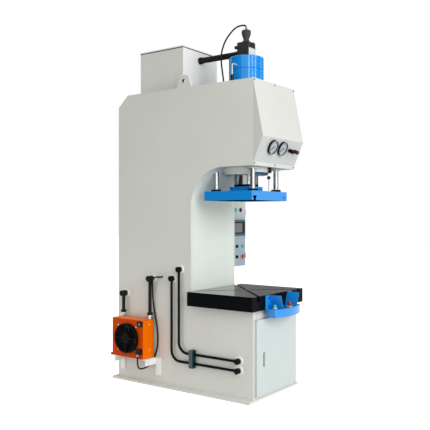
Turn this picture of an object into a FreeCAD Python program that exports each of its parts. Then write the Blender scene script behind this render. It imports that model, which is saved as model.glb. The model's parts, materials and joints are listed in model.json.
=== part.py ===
import FreeCAD, Part
import math
import os
import Sketcher

# A C-frame hydraulic press. +Z is up, the operator stands on the -Y side, and the origin lies on
# the floor under the ram axis. Every length is in millimetres.

os.makedirs("parts", exist_ok=True)
doc = FreeCAD.newDocument("HydraulicPress")
Vector = FreeCAD.Vector
Rotation = FreeCAD.Rotation

# ---------------------------------------------------------------- driving dimensions

SIZES = {
    # base and frame
    "base_width": 800.0, "base_front": 292.0, "base_rear": 1212.0, "base_plate": 20.0,
    "frame_width": 664.0, "frame_front": 283.0, "frame_rear": 1197.0, "frame_top": 2600.0,
    "side_plate": 25.0, "web_plate": 30.0, "column_face": 347.0,
    "jaw_level": 1900.0, "throat_radius": 330.0,
    "chamfer_run": 114.0, "chamfer_drop": 104.0, "rear_sheet": 4.0,
    "lug_centre": 426.0, "lug_width": 164.0, "lug_rise": 105.0, "lug_crown": 44.0,
    "lug_round": 36.0, "lug_hole": 17.0, "lug_hole_rise": 56.0,
    # table and bed
    "table_width": 824.0, "table_depth": 652.0, "table_top": 854.0, "table_plate": 118.0,
    "slot_neck": 22.0, "slot_head": 37.0, "slot_head_depth": 16.0, "slot_depth": 38.0,
    "bed_plate": 40.0, "bed_front_sheet": 8.0, "bed_opening_width": 540.0,
    "bed_opening_low": 62.0, "bed_opening_high": 640.0,
    # ejector under the table
    "ejector_rod": 30.0, "ejector_piston": 50.0, "ejector_barrel": 70.0,
    "ejector_flange": 95.0, "ejector_flange_plate": 25.0, "ejector_low": 330.0,
    # lower door
    "door_left": 311.0, "door_low": 45.0, "door_high": 658.0, "door_plate": 21.0,
    "door_sheet": 3.0, "door_gap": 1.0, "hinge_radius": 5.0, "hinge_pin": 2.5,
    "hinge_knuckle": 26.0, "hinge_low": 130.0, "hinge_high": 560.0, "hinge_leaf": 2.0,
    "hinge_leaf_run": 40.0,
    "latch_centre": 202.0, "latch_low": 270.0, "latch_high": 388.0, "latch_width": 26.0,
    "latch_recess": 12.0, "latch_lever": 8.0, "latch_proud": 2.0,
    # head cover, gauges and valve knobs
    "cover_sheet": 3.0, "cover_reach": 374.0, "knuckle_rise": 230.0, "cover_flange": 30.0,
    "gauge_radius": 61.0, "gauge_depth": 24.0, "gauge_rise": 157.0, "gauge_spacing": 156.0,
    "gauge_left": 140.0, "gauge_stem": 30.0, "dial_sunk": 9.0,
    "knob_radius": 17.0, "knob_length": 36.0, "knob_stem": 9.0, "knob_rise": 151.0,
    "knob_first": 141.0, "knob_spacing": 87.0,
    # ram cylinder, rod and slide
    "cylinder_radius": 150.0, "cylinder_rise": 252.0, "cylinder_bore": 125.0,
    "seam_rise": 143.0, "cylinder_cap": 40.0,
    "flange_radius": 205.0, "flange_plate": 38.0, "gland_radius": 188.0, "gland_plate": 17.0,
    "rod_radius": 103.0, "rod_length": 897.0, "piston_height": 50.0, "rod_ring": 20.0,
    "slide_width": 571.0, "slide_depth": 476.0, "slide_low": 1623.0, "slide_plate": 78.0,
    "boss_width": 206.0, "boss_height": 42.0,
    "guide_radius": 22.0, "guide_pitch_x": 373.0, "guide_pitch_y": 371.0, "guide_length": 779.0,
    "guide_foot": 43.0, "guide_foot_height": 16.0, "bush_radius": 34.0, "bush_rise": 90.0,
    "wiper_radius": 45.0, "wiper_height": 14.0,
    "trip_rod": 5.0, "trip_ball": 16.0, "trip_height": 114.0, "trip_reach": 221.0,
    "trip_offset": 10.0, "switch_offset": 28.0, "switch_radius": 12.0, "switch_length": 42.0,
    # prefill valve and its lines
    "valve_width": 118.0, "valve_depth": 110.0, "valve_height": 133.0,
    "port_length": 45.0, "plug_radius": 40.0, "plug_height": 110.0, "plug_neck": 24.0, "plug_gland": 8.0,
    "suction_radius": 26.0, "suction_rise": 45.0, "suction_offset": 10.0,
    "pilot_radius": 6.0, "pilot_rise": 172.0, "pilot_reach": 66.0, "pilot_bend": 26.0,
    "pilot_fitting": 14.0, "pilot_fitting_height": 76.0,
    # oil tank
    "tank_width": 508.0, "tank_front": 494.0, "tank_rear": 994.0, "tank_height": 380.0,
    "tank_sheet": 4.0, "lid_plate": 10.0, "lid_edge": 2.0,
    # side pipes and clamps
    "pipe_radius": 11.0, "pipe_standoff": 25.0, "pipe_bend": 90.0, "pipe_front": 149.0,
    "pipe_low_rear": 540.0, "pipe_low_top": 950.0, "pipe_low_level": 242.5,
    "pipe_high_rear": 459.0, "pipe_high_top": 1032.0, "pipe_high_level": 320.0,
    "head_radius": 24.0, "head_length": 36.0, "head_seat": 38.0, "head_seat_height": 13.0,
    "clamp_centre": 312.0, "clamp_length": 40.0, "clamp_height": 74.0, "clamp_width": 50.0,
    # oil cooler
    "cooler_gap": 18.0, "cooler_width": 137.0, "cooler_front": 756.0, "cooler_rear": 1123.0,
    "cooler_low": 240.0, "cooler_high": 580.0, "cooler_sheet": 3.0, "cooler_round": 8.0,
    "core_depth": 50.0, "core_pitch": 24.0, "core_slot": 10.0,
    "fan_level": 411.0, "fan_opening": 122.0, "shroud_wall": 9.0, "shroud_depth": 30.0,
    "guard_wire": 4.0, "guard_pitch": 19.0, "motor_radius": 46.0, "motor_depth": 58.0,
    "fan_hub": 44.0, "fan_tip": 113.0, "fan_depth": 24.0,
    "bracket_plate": 8.0, "bracket_leg": 50.0, "bracket_foot": 87.0, "bracket_flange": 48.0,
    "hose_radius": 15.0, "hose_standoff": 40.0, "hose_front": 776.0, "hose_rear": 1096.0,
    "hose_front_top": 937.0, "hose_rear_top": 787.0, "hose_head": 26.0, "hose_head_length": 55.0,
    "hose_clamp": 24.0, "fitting_height": 57.0, "fitting_nut": 24.0, "fitting_nut_height": 20.0,
    "terminal_depth": 28.0, "terminal_width": 54.0, "terminal_height": 46.0,
    "terminal_rise": 45.0, "terminal_inset": 10.0, "terminal_gland": 8.0, "gland_drop": 20.0,
    "thermostat_depth": 18.0, "thermostat_width": 52.0, "thermostat_height": 43.0,
    "thermostat_inset": 2.0, "thermostat_drop": 12.0, "cable_radius": 7.0,
    # control cabinet
    "panel_width": 221.0, "panel_front": 371.0, "panel_depth": 180.0, "panel_low": 1016.0,
    "panel_high": 1627.0, "panel_sheet": 3.0, "seat_gap": 0.3,
    "screen_width": 188.0, "screen_height": 153.0, "screen_level": 1379.5, "screen_depth": 8.0,
    "glass_width": 120.0, "glass_height": 88.0,
    "lamp_radius": 14.0, "lamp_level": 1549.0, "lamp_left": 388.0, "lamp_spacing": 80.0,
    "switch_left": 400.0, "switch_spacing": 96.0, "upper_row": 1205.0, "lower_row": 1106.0,
    "button_radius": 11.0, "button_cap": 14.0, "collar_radius": 15.0, "collar_height": 7.0,
    "mushroom_radius": 20.0, "panel_hinge_inset": 70.0,
    # two-hand station
    "tray_centre": 9.0, "tray_width": 420.0, "tray_side": 80.0, "tray_bow": 44.0,
    "tray_low": 674.0, "tray_top": 740.0, "tray_sheet": 3.0,
    "guard_centre": -8.0, "guard_half": 106.0, "guard_lean": 42.0, "guard_height": 110.0,
    "guard_reach": 112.0, "guard_sheet": 4.0, "tab_width": 74.0,
    "palm_offset": 170.0, "palm_reach": 56.0, "stop_reach": 70.0, "stop_offset": 44.0,
    "stop_radius": 16.0, "disc_radius": 27.0, "disc_height": 4.0,
}

sheet = doc.addObject("Spreadsheet::Sheet", "Sizes")
for row, (alias, length) in enumerate(SIZES.items(), start=1):
    sheet.set(f"A{row}", str(length))
    sheet.setAlias(f"A{row}", alias)
doc.recompute()


class Size:
    """A length that carries both its value and its expression on the sheet."""

    def __init__(self, value, text):
        self.value = float(value)
        self.text = text

    def __add__(self, other):
        other = as_size(other)
        return Size(self.value + other.value, f"({self.text} + {other.text})")

    def __sub__(self, other):
        other = as_size(other)
        return Size(self.value - other.value, f"({self.text} - {other.text})")

    def __mul__(self, other):
        other = as_size(other)
        return Size(self.value * other.value, f"({self.text} * {other.text})")

    def __truediv__(self, other):
        other = as_size(other)
        return Size(self.value / other.value, f"({self.text} / {other.text})")

    def __radd__(self, other):
        return as_size(other) + self

    def __rsub__(self, other):
        return as_size(other) - self

    def __rmul__(self, other):
        return as_size(other) * self

    def __neg__(self):
        return Size(-self.value, f"(-1 * {self.text})")

    def __abs__(self):
        return Size(abs(self.value), f"abs({self.text})")

    def __float__(self):
        return self.value


def as_size(length):
    if isinstance(length, Size):
        return length
    return Size(length, f"({float(length)})")


class Sheet:
    """Gives each cell of the sheet as a Size, by its alias."""

    def __getattr__(self, alias):
        return Size(sheet.get(alias), f"Sizes.{alias}")


S = Sheet()

# Sizes that several pieces share
HALF = S.frame_width / 2
INNER = HALF - S.side_plate
BED = S.table_top - S.table_plate
SLIDE_TOP = S.slide_low + S.slide_plate
BOSS_TOP = SLIDE_TOP + S.boss_height
GAP = S.seat_gap
ROD_TOP = BOSS_TOP + S.rod_length
BUSH_TOP = S.jaw_level + S.bush_rise
KNUCKLE = S.jaw_level + S.knuckle_rise
GAUGE_LEVEL = S.jaw_level + S.gauge_rise
KNOB_LEVEL = S.jaw_level + S.knob_rise
CYLINDER_TOP = S.frame_top + S.cylinder_rise
WALL_X = -HALF
CLEAR = 0.3

# ---------------------------------------------------------------- drawing helpers

AXIS_TURN = {
    "Z": Rotation(),
    "X": Rotation(Vector(0, 1, 0), 90),
    "Y": Rotation(Vector(1, 0, 0), -90),
}
nodes = []


def bind(item, path, length):
    item.setExpression(path, as_size(length).text)


def place(item, at, turn=None):
    """Put an object at a point given in sizes, turned about its own origin."""
    if turn is not None:
        item.Placement = FreeCAD.Placement(Vector(), turn)
    for axis, length in zip("xyz", at):
        bind(item, f"Placement.Base.{axis}", length)
    return item


def box(name, low, high):
    item = doc.addObject("Part::Box", name)
    for side, start, end in zip(("Length", "Width", "Height"), low, high):
        bind(item, side, as_size(end) - start)
    return place(item, low)


def rod(name, base, radius, length, axis="Z"):
    item = doc.addObject("Part::Cylinder", name)
    bind(item, "Radius", radius)
    bind(item, "Height", length)
    return place(item, base, AXIS_TURN[axis])


def ball(name, centre, radius):
    item = doc.addObject("Part::Sphere", name)
    bind(item, "Radius", radius)
    return place(item, centre)


def hexagon(name, base, across_corners, length):
    item = doc.addObject("Part::Prism", name)
    item.Polygon = 6
    bind(item, "Circumradius", across_corners)
    bind(item, "Height", length)
    return place(item, base)


def diagonal_bar(name, length, width, low, high, angle):
    """A long bar through the ram axis, turned about it by 45 degrees either way."""
    item = doc.addObject("Part::Box", name)
    bind(item, "Length", length)
    bind(item, "Width", width)
    bind(item, "Height", high - low)
    along = math.cos(math.radians(angle))
    across = math.sin(math.radians(angle))
    corner_x = length * (-along / 2) + width * (across / 2)
    corner_y = length * (-across / 2) - width * (along / 2)
    return place(item, (corner_x, corner_y, low), Rotation(Vector(0, 0, 1), angle))


def fuse(name, *items):
    item = doc.addObject("Part::MultiFuse", name)
    item.Shapes = list(items)
    return item


def cut(name, base, *tools):
    item = doc.addObject("Part::Cut", name)
    item.Base = base
    item.Tool = tools[0] if len(tools) == 1 else fuse(name + "_tools", *tools)
    return item


def group(name, *items):
    """Like pieces that share one node, kept as separate solids."""
    item = doc.addObject("Part::Compound", name)
    item.Links = list(items)
    return item


def ring(name, base, outer, inner, length, axis="Z"):
    return cut(name, rod(name + "_outer", base, outer, length, axis),
               rod(name + "_bore", base, inner, length, axis))


def node(item, label):
    """Name an object as one of the pieces of the press."""
    item.Label = label
    nodes.append(item)
    return item


# ---------------------------------------------------------------- sketch helpers

Rule = Sketcher.Constraint


def start_of(index):
    return index, 1


def end_of(index):
    return index, 2


def centre_of(index):
    return index, 3


def origin():
    return -1, 1


def new_sketch(body, role, offset=None):
    face = next(f for f in body.Origin.OriginFeatures if f.Role == role)
    item = body.newObject("Sketcher::SketchObject", body.Name + "_sketch")
    item.AttachmentSupport = (face, [""])
    item.MapMode = "FlatFace"
    if offset is not None:
        bind(item, "AttachmentOffset.Base.z", offset)
    return item


def hold(sketch, point, at):
    """Hold a point of the sketch at a place given in sizes."""
    vertical_axis, horizontal_axis = -2, -1
    for kind, axis, length in (("DistanceX", vertical_axis, at[0]),
                               ("DistanceY", horizontal_axis, at[1])):
        length = as_size(length)
        if length.value == 0:
            sketch.addConstraint(Rule("PointOnObject", *point, axis))
            continue
        index = sketch.addConstraint(Rule(kind, *origin(), *point, length.value))
        bind(sketch, f"Constraints[{index}]", length)


def add_arc(sketch, start, middle, end):
    """Add an arc through three points, anticlockwise, and return its two ends in order."""
    turn = (middle - start).cross(end - middle).z
    ends = (start_of, end_of) if turn > 0 else (end_of, start_of)
    arc = Part.Arc(start, middle, end) if turn > 0 else Part.Arc(end, middle, start)
    index = sketch.addGeometry(arc, False)
    return [find(index) for find in ends]


def outline(sketch, corners, bow=None):
    """Draw a closed outline; the side that starts at corner `bow[0]` is an arc through bow[1]."""
    spots = [Vector(float(x), float(y), 0) for x, y in corners]
    count = len(spots)
    ends = [(start_of(index), end_of(index)) for index in range(count)]
    for index in range(count):
        start, end = spots[index], spots[(index + 1) % count]
        if bow and bow[0] == index:
            middle = Vector(float(bow[1][0]), float(bow[1][1]), 0)
            ends[index] = add_arc(sketch, start, middle, end)
        else:
            sketch.addGeometry(Part.LineSegment(start, end), False)
    for index in range(count):
        sketch.addConstraint(Rule("Coincident", *ends[index][1], *ends[(index + 1) % count][0]))
        hold(sketch, ends[index][0], corners[index])
    if bow:
        rise = abs(bow[1][1] - corners[bow[0]][1])
        half_chord = abs(corners[bow[0] + 1][0] - corners[bow[0]][0]) / 2
        radius = (half_chord * half_chord / rise + rise) / 2
        index = sketch.addConstraint(Rule("Radius", bow[0], float(radius)))
        bind(sketch, f"Constraints[{index}]", radius)
    return sketch


def circle(sketch, centre, radius):
    spot = Vector(float(centre[0]), float(centre[1]), 0)
    index = sketch.addGeometry(Part.Circle(spot, Vector(0, 0, 1), float(radius)), False)
    hold(sketch, centre_of(index), centre)
    rule = sketch.addConstraint(Rule("Radius", index, float(radius)))
    bind(sketch, f"Constraints[{rule}]", radius)


def new_body(name, at, turn=None):
    return place(doc.addObject("PartDesign::Body", name + "_body"), at, turn)


def pad(body, sketch, length):
    item = body.newObject("PartDesign::Pad", body.Name + "_pad")
    item.Profile = sketch
    bind(item, "Length", length)
    return item


def pocket(body, sketch, length):
    """Cut along the sketch's own normal, from the sketch into the solid."""
    before = body.Shape.Volume
    item = body.newObject("PartDesign::Pocket", body.Name + "_pocket")
    item.Profile = sketch
    item.Reversed = True
    bind(item, "Length", length)
    doc.recompute()
    if body.Shape.Volume >= before:
        raise ValueError(f"{body.Name}: the pocket cuts nothing")
    return item


def round_edges(body, radius, spots):
    """Round the edges whose middles lie at the given places in the body's own frame."""
    doc.recompute()
    base = body.Tip
    names = []
    for index, edge in enumerate(base.Shape.Edges, start=1):
        middle = edge.CenterOfMass
        if any(spot(middle) for spot in spots):
            names.append(f"Edge{index}")
    item = body.newObject("PartDesign::Fillet", body.Name + "_fillet")
    item.Base = (base, names)
    bind(item, "Radius", radius)
    doc.recompute()
    return item


def along_x(y, z):
    """Picks the edge parallel to X that passes through the given place."""
    return lambda middle: abs(middle.y - float(y)) < 0.01 and abs(middle.z - float(z)) < 0.01


def turned(name, profile, at, turn=None):
    """A turned piece: half its section, as (radius, height) corners round the local Z axis."""
    body = new_body(name, at, turn)
    sketch = outline(new_sketch(body, "XZ_Plane"), profile)
    item = body.newObject("PartDesign::Revolution", body.Name + "_turn")
    item.Profile = sketch
    item.ReferenceAxis = (sketch, ["V_Axis"])
    item.Angle = 360
    return body


def bent_pipe(name, at, first, second, bend, radius, planes, down_first):
    """A pipe with one square bend: `first` along one axis, then `second` along the other."""
    body = new_body(name, at)
    path = new_sketch(body, planes[0])
    bite = bend * (1 - math.sqrt(0.5))
    corners = [(as_size(0), bend - first), (-bite, bite - first), (-bend, -first),
               (-second, -first)]
    if not down_first:
        corners = [(y, x) for x, y in corners]
    leave, middle, enter, far = corners
    spots = [Vector(float(x), float(y), 0) for x, y in corners]
    path.addGeometry(Part.LineSegment(Vector(), spots[0]), False)
    ends = add_arc(path, *spots[:3])
    path.addGeometry(Part.LineSegment(spots[2], spots[3]), False)
    path.addConstraint(Rule("Coincident", *start_of(0), *origin()))
    path.addConstraint(Rule("Coincident", *end_of(0), *ends[0]))
    path.addConstraint(Rule("Coincident", *ends[1], *start_of(2)))
    hold(path, end_of(0), leave)
    hold(path, start_of(2), enter)
    hold(path, end_of(2), far)
    rule = path.addConstraint(Rule("Radius", 1, float(bend)))
    bind(path, f"Constraints[{rule}]", bend)
    profile = new_sketch(body, planes[1])
    circle(profile, (0, 0), radius)
    doc.recompute()
    item = body.newObject("PartDesign::AdditivePipe", name + "_sweep")
    item.Profile = profile
    item.Spine = (path, [])
    return body


# ---------------------------------------------------------------- frame

def make_base():
    node(box("base", (-S.base_width / 2, -S.base_front, 0),
             (S.base_width / 2, S.base_rear, S.base_plate)), "base_plate")


def side_profile():
    """Side plate seen from the left: jaw, throat, lug and rear chamfer."""
    lug_left = S.lug_centre - S.lug_width / 2
    lug_right = S.lug_centre + S.lug_width / 2
    crown = S.frame_top + S.lug_rise
    return [
        (-S.frame_front, S.base_plate), (-S.frame_front, BED), (S.column_face, BED),
        (S.column_face, S.jaw_level), (-S.frame_front, S.jaw_level),
        (-S.frame_front, S.frame_top), (lug_left, S.frame_top),
        (S.lug_centre - S.lug_crown, crown), (S.lug_centre + S.lug_crown, crown),
        (lug_right, S.frame_top), (S.frame_rear - S.chamfer_run, S.frame_top),
        (S.frame_rear, S.frame_top - S.chamfer_drop), (S.frame_rear, S.base_plate),
    ]


def make_side_plate(label, at_x):
    body = new_body(label, (at_x, 0, 0))
    pad(body, outline(new_sketch(body, "YZ_Plane"), side_profile()), S.side_plate)
    crown = S.frame_top + S.lug_rise
    round_edges(body, S.throat_radius, [along_x(S.column_face, S.jaw_level)])
    round_edges(body, S.lug_round, [along_x(S.lug_centre - S.lug_crown, crown),
                                    along_x(S.lug_centre + S.lug_crown, crown)])
    eye = new_sketch(body, "YZ_Plane")
    circle(eye, (S.lug_centre, S.frame_top + S.lug_hole_rise), S.lug_hole)
    pocket(body, eye, S.side_plate)
    return body


def pipe_ends():
    """Where the side pipes and the cooler hoses enter the left side plate, as (y, z)."""
    return [
        (S.pipe_low_rear, S.pipe_low_top), (S.pipe_high_rear, S.pipe_high_top),
        (-S.pipe_front, S.pipe_low_level), (-S.pipe_front, S.pipe_high_level),
        (S.hose_front, S.hose_front_top), (S.hose_rear, S.hose_rear_top),
    ]


def make_side_plates():
    seats = []
    for index, (y, z) in enumerate(pipe_ends()):
        base = (WALL_X - S.head_seat_height, y, z)
        seats.append(rod(f"pipe_seat_{index}", base, S.head_seat, S.head_seat_height, "X"))
    cable_y, cable_z = COOLER_CABLE[0][1:]
    grommet = rod("cable_grommet", (WALL_X - 6, cable_y, cable_z), S.cable_radius + 4, 6, "X")
    left = make_side_plate("left_side", WALL_X)
    node(fuse("left_side_seats", left, grommet, *seats), "side_plate_left")
    node(make_side_plate("right_side", INNER), "side_plate_right")


def guide_spots():
    """The four guide rods, front pair first."""
    return [(S.guide_pitch_x * sx, S.guide_pitch_y * sy)
            for sy in (-0.5, 0.5) for sx in (-0.5, 0.5)]


def make_throat_plate():
    """Column face, curved throat and jaw underside, bent from one plate."""
    body = new_body("throat", (-INNER, 0, 0))
    back = S.column_face + S.web_plate
    above = S.jaw_level + S.web_plate
    corners = [
        (-S.frame_front, S.jaw_level), (S.column_face, S.jaw_level), (S.column_face, BED),
        (back, BED), (back, above), (-S.frame_front, above),
    ]
    pad(body, outline(new_sketch(body, "YZ_Plane"), corners), INNER * 2)
    round_edges(body, S.throat_radius, [along_x(S.column_face, S.jaw_level)])
    round_edges(body, S.throat_radius + S.web_plate, [along_x(back, above)])
    holes = new_sketch(body, "XY_Plane")
    circle(holes, (INNER, 0), S.cylinder_radius + CLEAR)
    for x, y in guide_spots():
        circle(holes, (INNER + x, y), S.guide_radius + 4)
    pocket(body, holes, above)
    bushes = []
    for index, (x, y) in enumerate(guide_spots()):
        front = index < 2
        low = above if front else above - S.web_plate * 1.6
        bushes.append(ring(f"bush_{index}", (x, y, low), S.bush_radius,
                           S.guide_radius + CLEAR, BUSH_TOP - low))
        if front:
            bushes.append(ring(f"wiper_{index}", (x, y, S.jaw_level - S.wiper_height),
                               S.wiper_radius, S.guide_radius + CLEAR, S.wiper_height))
    recess = rod("flange_recess", (0, 0, S.jaw_level - S.flange_plate * 2),
                 S.flange_radius + 1, S.flange_plate * 2)
    node(cut("throat_cut", fuse("throat_bushed", body, *bushes), recess), "throat_plate")


def make_head_top():
    rear = S.frame_rear - S.chamfer_run
    plate = box("head_top_blank", (-INNER, -S.frame_front, S.frame_top - S.side_plate),
                (INNER, rear, S.frame_top))
    hole = rod("head_top_hole", (0, 0, S.frame_top - S.side_plate),
               S.cylinder_radius + CLEAR, S.side_plate)
    node(cut("head_top", plate, hole), "head_top_plate")


def make_rear_panel():
    """Folded sheet that closes the back and its sloped top corner."""
    body = new_body("rear", (-INNER, 0, 0))
    slope = S.frame_top - S.chamfer_drop
    edge = S.frame_rear - S.chamfer_run
    corners = [
        (S.frame_rear, S.base_plate), (S.frame_rear, slope), (edge, S.frame_top),
        (edge, S.frame_top - S.rear_sheet * 1.4),
        (S.frame_rear - S.rear_sheet, slope - S.rear_sheet * 0.4),
        (S.frame_rear - S.rear_sheet, S.base_plate),
    ]
    pad(body, outline(new_sketch(body, "YZ_Plane"), corners), INNER * 2)
    node(body, "rear_panel")


def make_bed_frame():
    """Plate under the table and the front sheet round the door opening."""
    low = BED - S.bed_plate
    plate = box("bed_plate", (-INNER, -S.frame_front, low),
                (INNER, S.column_face + S.web_plate, BED))
    sheet_back = -S.frame_front + S.bed_front_sheet
    front = box("bed_front", (-INNER, -S.frame_front, S.base_plate), (INNER, sheet_back, low))
    opening = box("bed_opening",
                  (-S.bed_opening_width / 2, -S.frame_front, S.bed_opening_low),
                  (S.bed_opening_width / 2, sheet_back, S.bed_opening_high))
    hole = rod("bed_hole", (0, 0, low), S.ejector_rod + 2, S.bed_plate)
    node(cut("bed_frame_cut", fuse("bed_blank", plate, front), opening, hole), "bed_frame")


# ---------------------------------------------------------------- table, slots and ejector

def slot_tools(name, face, depth_sign, reach):
    """Two T-slots that cross at the ram axis, sunk from a face at the given level."""
    tools = []
    for angle in (45, -45):
        mark = f"{name}_{'a' if angle > 0 else 'b'}"
        bottom = face + S.slot_depth * depth_sign
        shoulder = face + (S.slot_depth - S.slot_head_depth) * depth_sign
        neck = (face, bottom) if depth_sign > 0 else (bottom, face)
        head = (shoulder, bottom) if depth_sign > 0 else (bottom, shoulder)
        tools.append(diagonal_bar(mark + "_neck", reach, S.slot_neck, *neck, angle))
        tools.append(diagonal_bar(mark + "_head", reach, S.slot_head, *head, angle))
    return tools


def make_table():
    blank = box("table_blank", (-S.table_width / 2, -S.table_depth / 2, BED),
                (S.table_width / 2, S.table_depth / 2, S.table_top))
    hole = rod("table_hole", (0, 0, BED), S.ejector_rod + CLEAR, S.table_plate)
    slots = slot_tools("table_slot", S.table_top, -1, S.table_width * 2)
    node(cut("table_cut", blank, hole, *slots), "table")


def make_ejector():
    low, high = S.ejector_low, BED - S.bed_plate
    flange = high - S.ejector_flange_plate
    bore = S.ejector_rod + CLEAR
    wall = S.ejector_barrel - S.ejector_piston
    barrel = [
        (0, low), (S.ejector_barrel, low), (S.ejector_barrel, flange),
        (S.ejector_flange, flange), (S.ejector_flange, high), (bore, high),
        (bore, flange - wall), (S.ejector_piston, flange - wall),
        (S.ejector_piston, low + wall), (0, low + wall),
    ]
    node(turned("ejector_cylinder", barrel, (0, 0, 0)), "ejector_barrel")
    foot = low + wall + 10
    pin = [
        (0, foot), (S.ejector_piston - CLEAR, foot), (S.ejector_piston - CLEAR, foot + wall),
        (S.ejector_rod, foot + wall), (S.ejector_rod, S.table_top - 3),
        (S.ejector_rod - 3, S.table_top), (0, S.table_top),
    ]
    node(turned("ejector_pin", pin, (0, 0, 0)), "ejector_rod")


# ---------------------------------------------------------------- lift-off hinges

def hung_level(level):
    """Foot of a hinge's turning knuckle, which stands on the fixed one at the given level."""
    return level + S.hinge_knuckle + CLEAR


def hung_knuckle(label, axis, level):
    """The turning half of a hinge: a ring that drops over the fixed half's pin."""
    return ring(label, (*axis, hung_level(level)), S.hinge_radius, S.hinge_pin + CLEAR,
                S.hinge_knuckle)


def fixed_knuckle(label, axis, level):
    """The fixed half of a hinge: a knuckle with its pin standing up out of it."""
    barrel = rod(label + "_barrel", (*axis, level), S.hinge_radius, S.hinge_knuckle)
    pin = rod(label + "_pin", (*axis, level), S.hinge_pin, S.hinge_knuckle * 2 + CLEAR)
    return fuse(label, barrel, pin)


# ---------------------------------------------------------------- lower door

def make_door():
    """Folded door with a recessed latch; its knuckles stand at the right edge."""
    back = -S.frame_front - S.door_gap
    front = back - S.door_plate
    right = HALF
    low, high = S.door_low, S.door_high
    pan = box("door_pan", (-S.door_left, front, low), (right, back, high))
    hollow = box("door_hollow", (-S.door_left + S.door_sheet, front + S.door_sheet,
                                 low + S.door_sheet),
                 (right - S.door_sheet, back, high - S.door_sheet))
    latch_left = -S.latch_centre - S.latch_width / 2
    latch_right = -S.latch_centre + S.latch_width / 2
    floor = front + S.latch_recess
    case = box("latch_case", (latch_left - S.door_sheet, front, S.latch_low - S.door_sheet),
               (latch_right + S.door_sheet, floor + S.door_sheet, S.latch_high + S.door_sheet))
    recess = box("latch_recess", (latch_left, front, S.latch_low),
                 (latch_right, floor, S.latch_high))
    shell = fuse("door_shell", cut("door_skin", pan, hollow), case)
    pieces = [cut("door_recessed", shell, recess)]
    axis = (right + S.hinge_radius + 1, back)
    for index, level in enumerate((S.hinge_low, S.hinge_high)):
        start = hung_level(level)
        leaf = box(f"door_leaf_{index}", (right, front, start),
                   (right + S.hinge_leaf, back - S.hinge_pin, start + S.hinge_knuckle))
        pieces += [hung_knuckle(f"door_knuckle_{index}", axis, level), leaf]
    node(fuse("door_hinged", *pieces), "door")


def make_hinges():
    """Fixed half of each hinge: a leaf on the side plate, a knuckle and its pin."""
    axis = (HALF + S.hinge_radius + 1, -S.frame_front - S.door_gap)
    halves = []
    for index, level in enumerate((S.hinge_low, S.hinge_high)):
        knuckle = fixed_knuckle(f"hinge_knuckle_{index}", axis, level)
        leaf = box(f"hinge_leaf_{index}", (HALF, -S.frame_front, level),
                   (HALF + S.hinge_leaf, -S.frame_front + S.hinge_leaf_run,
                    level + S.hinge_knuckle))
        bridge = box(f"hinge_bridge_{index}", (HALF, -S.frame_front, level),
                     (HALF + S.hinge_radius + 1, -S.frame_front + S.hinge_leaf,
                      level + S.hinge_knuckle))
        halves.append(fuse(f"hinge_half_{index}", knuckle, leaf, bridge))
    node(group("hinge_pair", *halves), "door_hinges")


def make_latch():
    front = -S.frame_front - S.door_gap - S.door_plate
    side = S.latch_width / 2 - 2
    lever = box("latch_bar", (-S.latch_centre - side, front - S.latch_proud, S.latch_low + 9),
                (-S.latch_centre + side, front - S.latch_proud + S.latch_lever,
                 S.latch_high - 4))
    pin_z = S.latch_high - 10
    pin = rod("latch_pin", (-S.latch_centre - S.latch_width / 2 + CLEAR,
                            front + S.latch_lever / 2, pin_z), 2.5,
              S.latch_width - 2 * CLEAR, "X")
    node(fuse("latch_lever_pinned", lever, pin), "latch_lever")


# ---------------------------------------------------------------- head cover and gauges

LOWER_RUN = S.cover_reach - S.frame_front - S.cover_sheet
LOWER_RISE = KNUCKLE - S.jaw_level - S.cover_flange
PANEL_TILT = 90 + math.degrees(math.atan(float(LOWER_RUN) / float(LOWER_RISE)))
PANEL_TURN = Rotation(Vector(1, 0, 0), PANEL_TILT)
PANEL_NORMAL = PANEL_TURN.multVec(Vector(0, 0, 1))


def on_panel(x, z, proud=0.0):
    """A place on the sloped lower panel of the head cover, at a given width and height."""
    rise = as_size(z) - S.jaw_level - S.cover_flange
    y = -(S.frame_front + S.cover_sheet) - LOWER_RUN * rise / LOWER_RISE
    return (x, y + PANEL_NORMAL.y * proud, z + PANEL_NORMAL.z * proud)


def gauge_spots():
    return [-S.gauge_left, -S.gauge_left + S.gauge_spacing]


def knob_spots():
    return [S.knob_first, S.knob_first + S.knob_spacing]


def make_head_cover():
    """Folded cover with a knuckle, closed cheeks and holes for the gauges and valves."""
    outer = -S.frame_front - S.cover_sheet
    top = S.frame_top - S.cover_flange
    low = S.jaw_level + S.cover_flange
    body = new_body("cover", (-HALF, 0, 0))
    skin = [
        (-S.frame_front, S.frame_top), (outer, S.frame_top), (outer, top),
        (-S.cover_reach, KNUCKLE), (outer, low), (outer, S.jaw_level),
        (-S.frame_front, S.jaw_level),
    ]
    pad(body, outline(new_sketch(body, "YZ_Plane"), skin), S.frame_width)
    doc.recompute()
    hollow = [(-S.frame_front, top), (-S.cover_reach + S.cover_sheet, KNUCKLE),
              (-S.frame_front, low)]
    inside = outline(new_sketch(body, "YZ_Plane", S.cover_sheet), hollow)
    pocket(body, inside, S.frame_width - S.cover_sheet * 2)
    drills = []
    for index, x in enumerate(gauge_spots()):
        hole = rod(f"gauge_hole_{index}", (0, 0, 0), S.gauge_stem + 1, S.cover_sheet * 4)
        drills.append(place(hole, on_panel(x, GAUGE_LEVEL, -2 * SIZES["cover_sheet"]),
                            PANEL_TURN))
    for index, x in enumerate(knob_spots()):
        hole = rod(f"valve_hole_{index}", (0, 0, 0), S.knob_stem + CLEAR, S.cover_sheet * 4)
        drills.append(place(hole, on_panel(x, KNOB_LEVEL, -2 * SIZES["cover_sheet"]),
                            PANEL_TURN))
    node(cut("cover_drilled", body, *drills), "head_cover")


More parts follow.
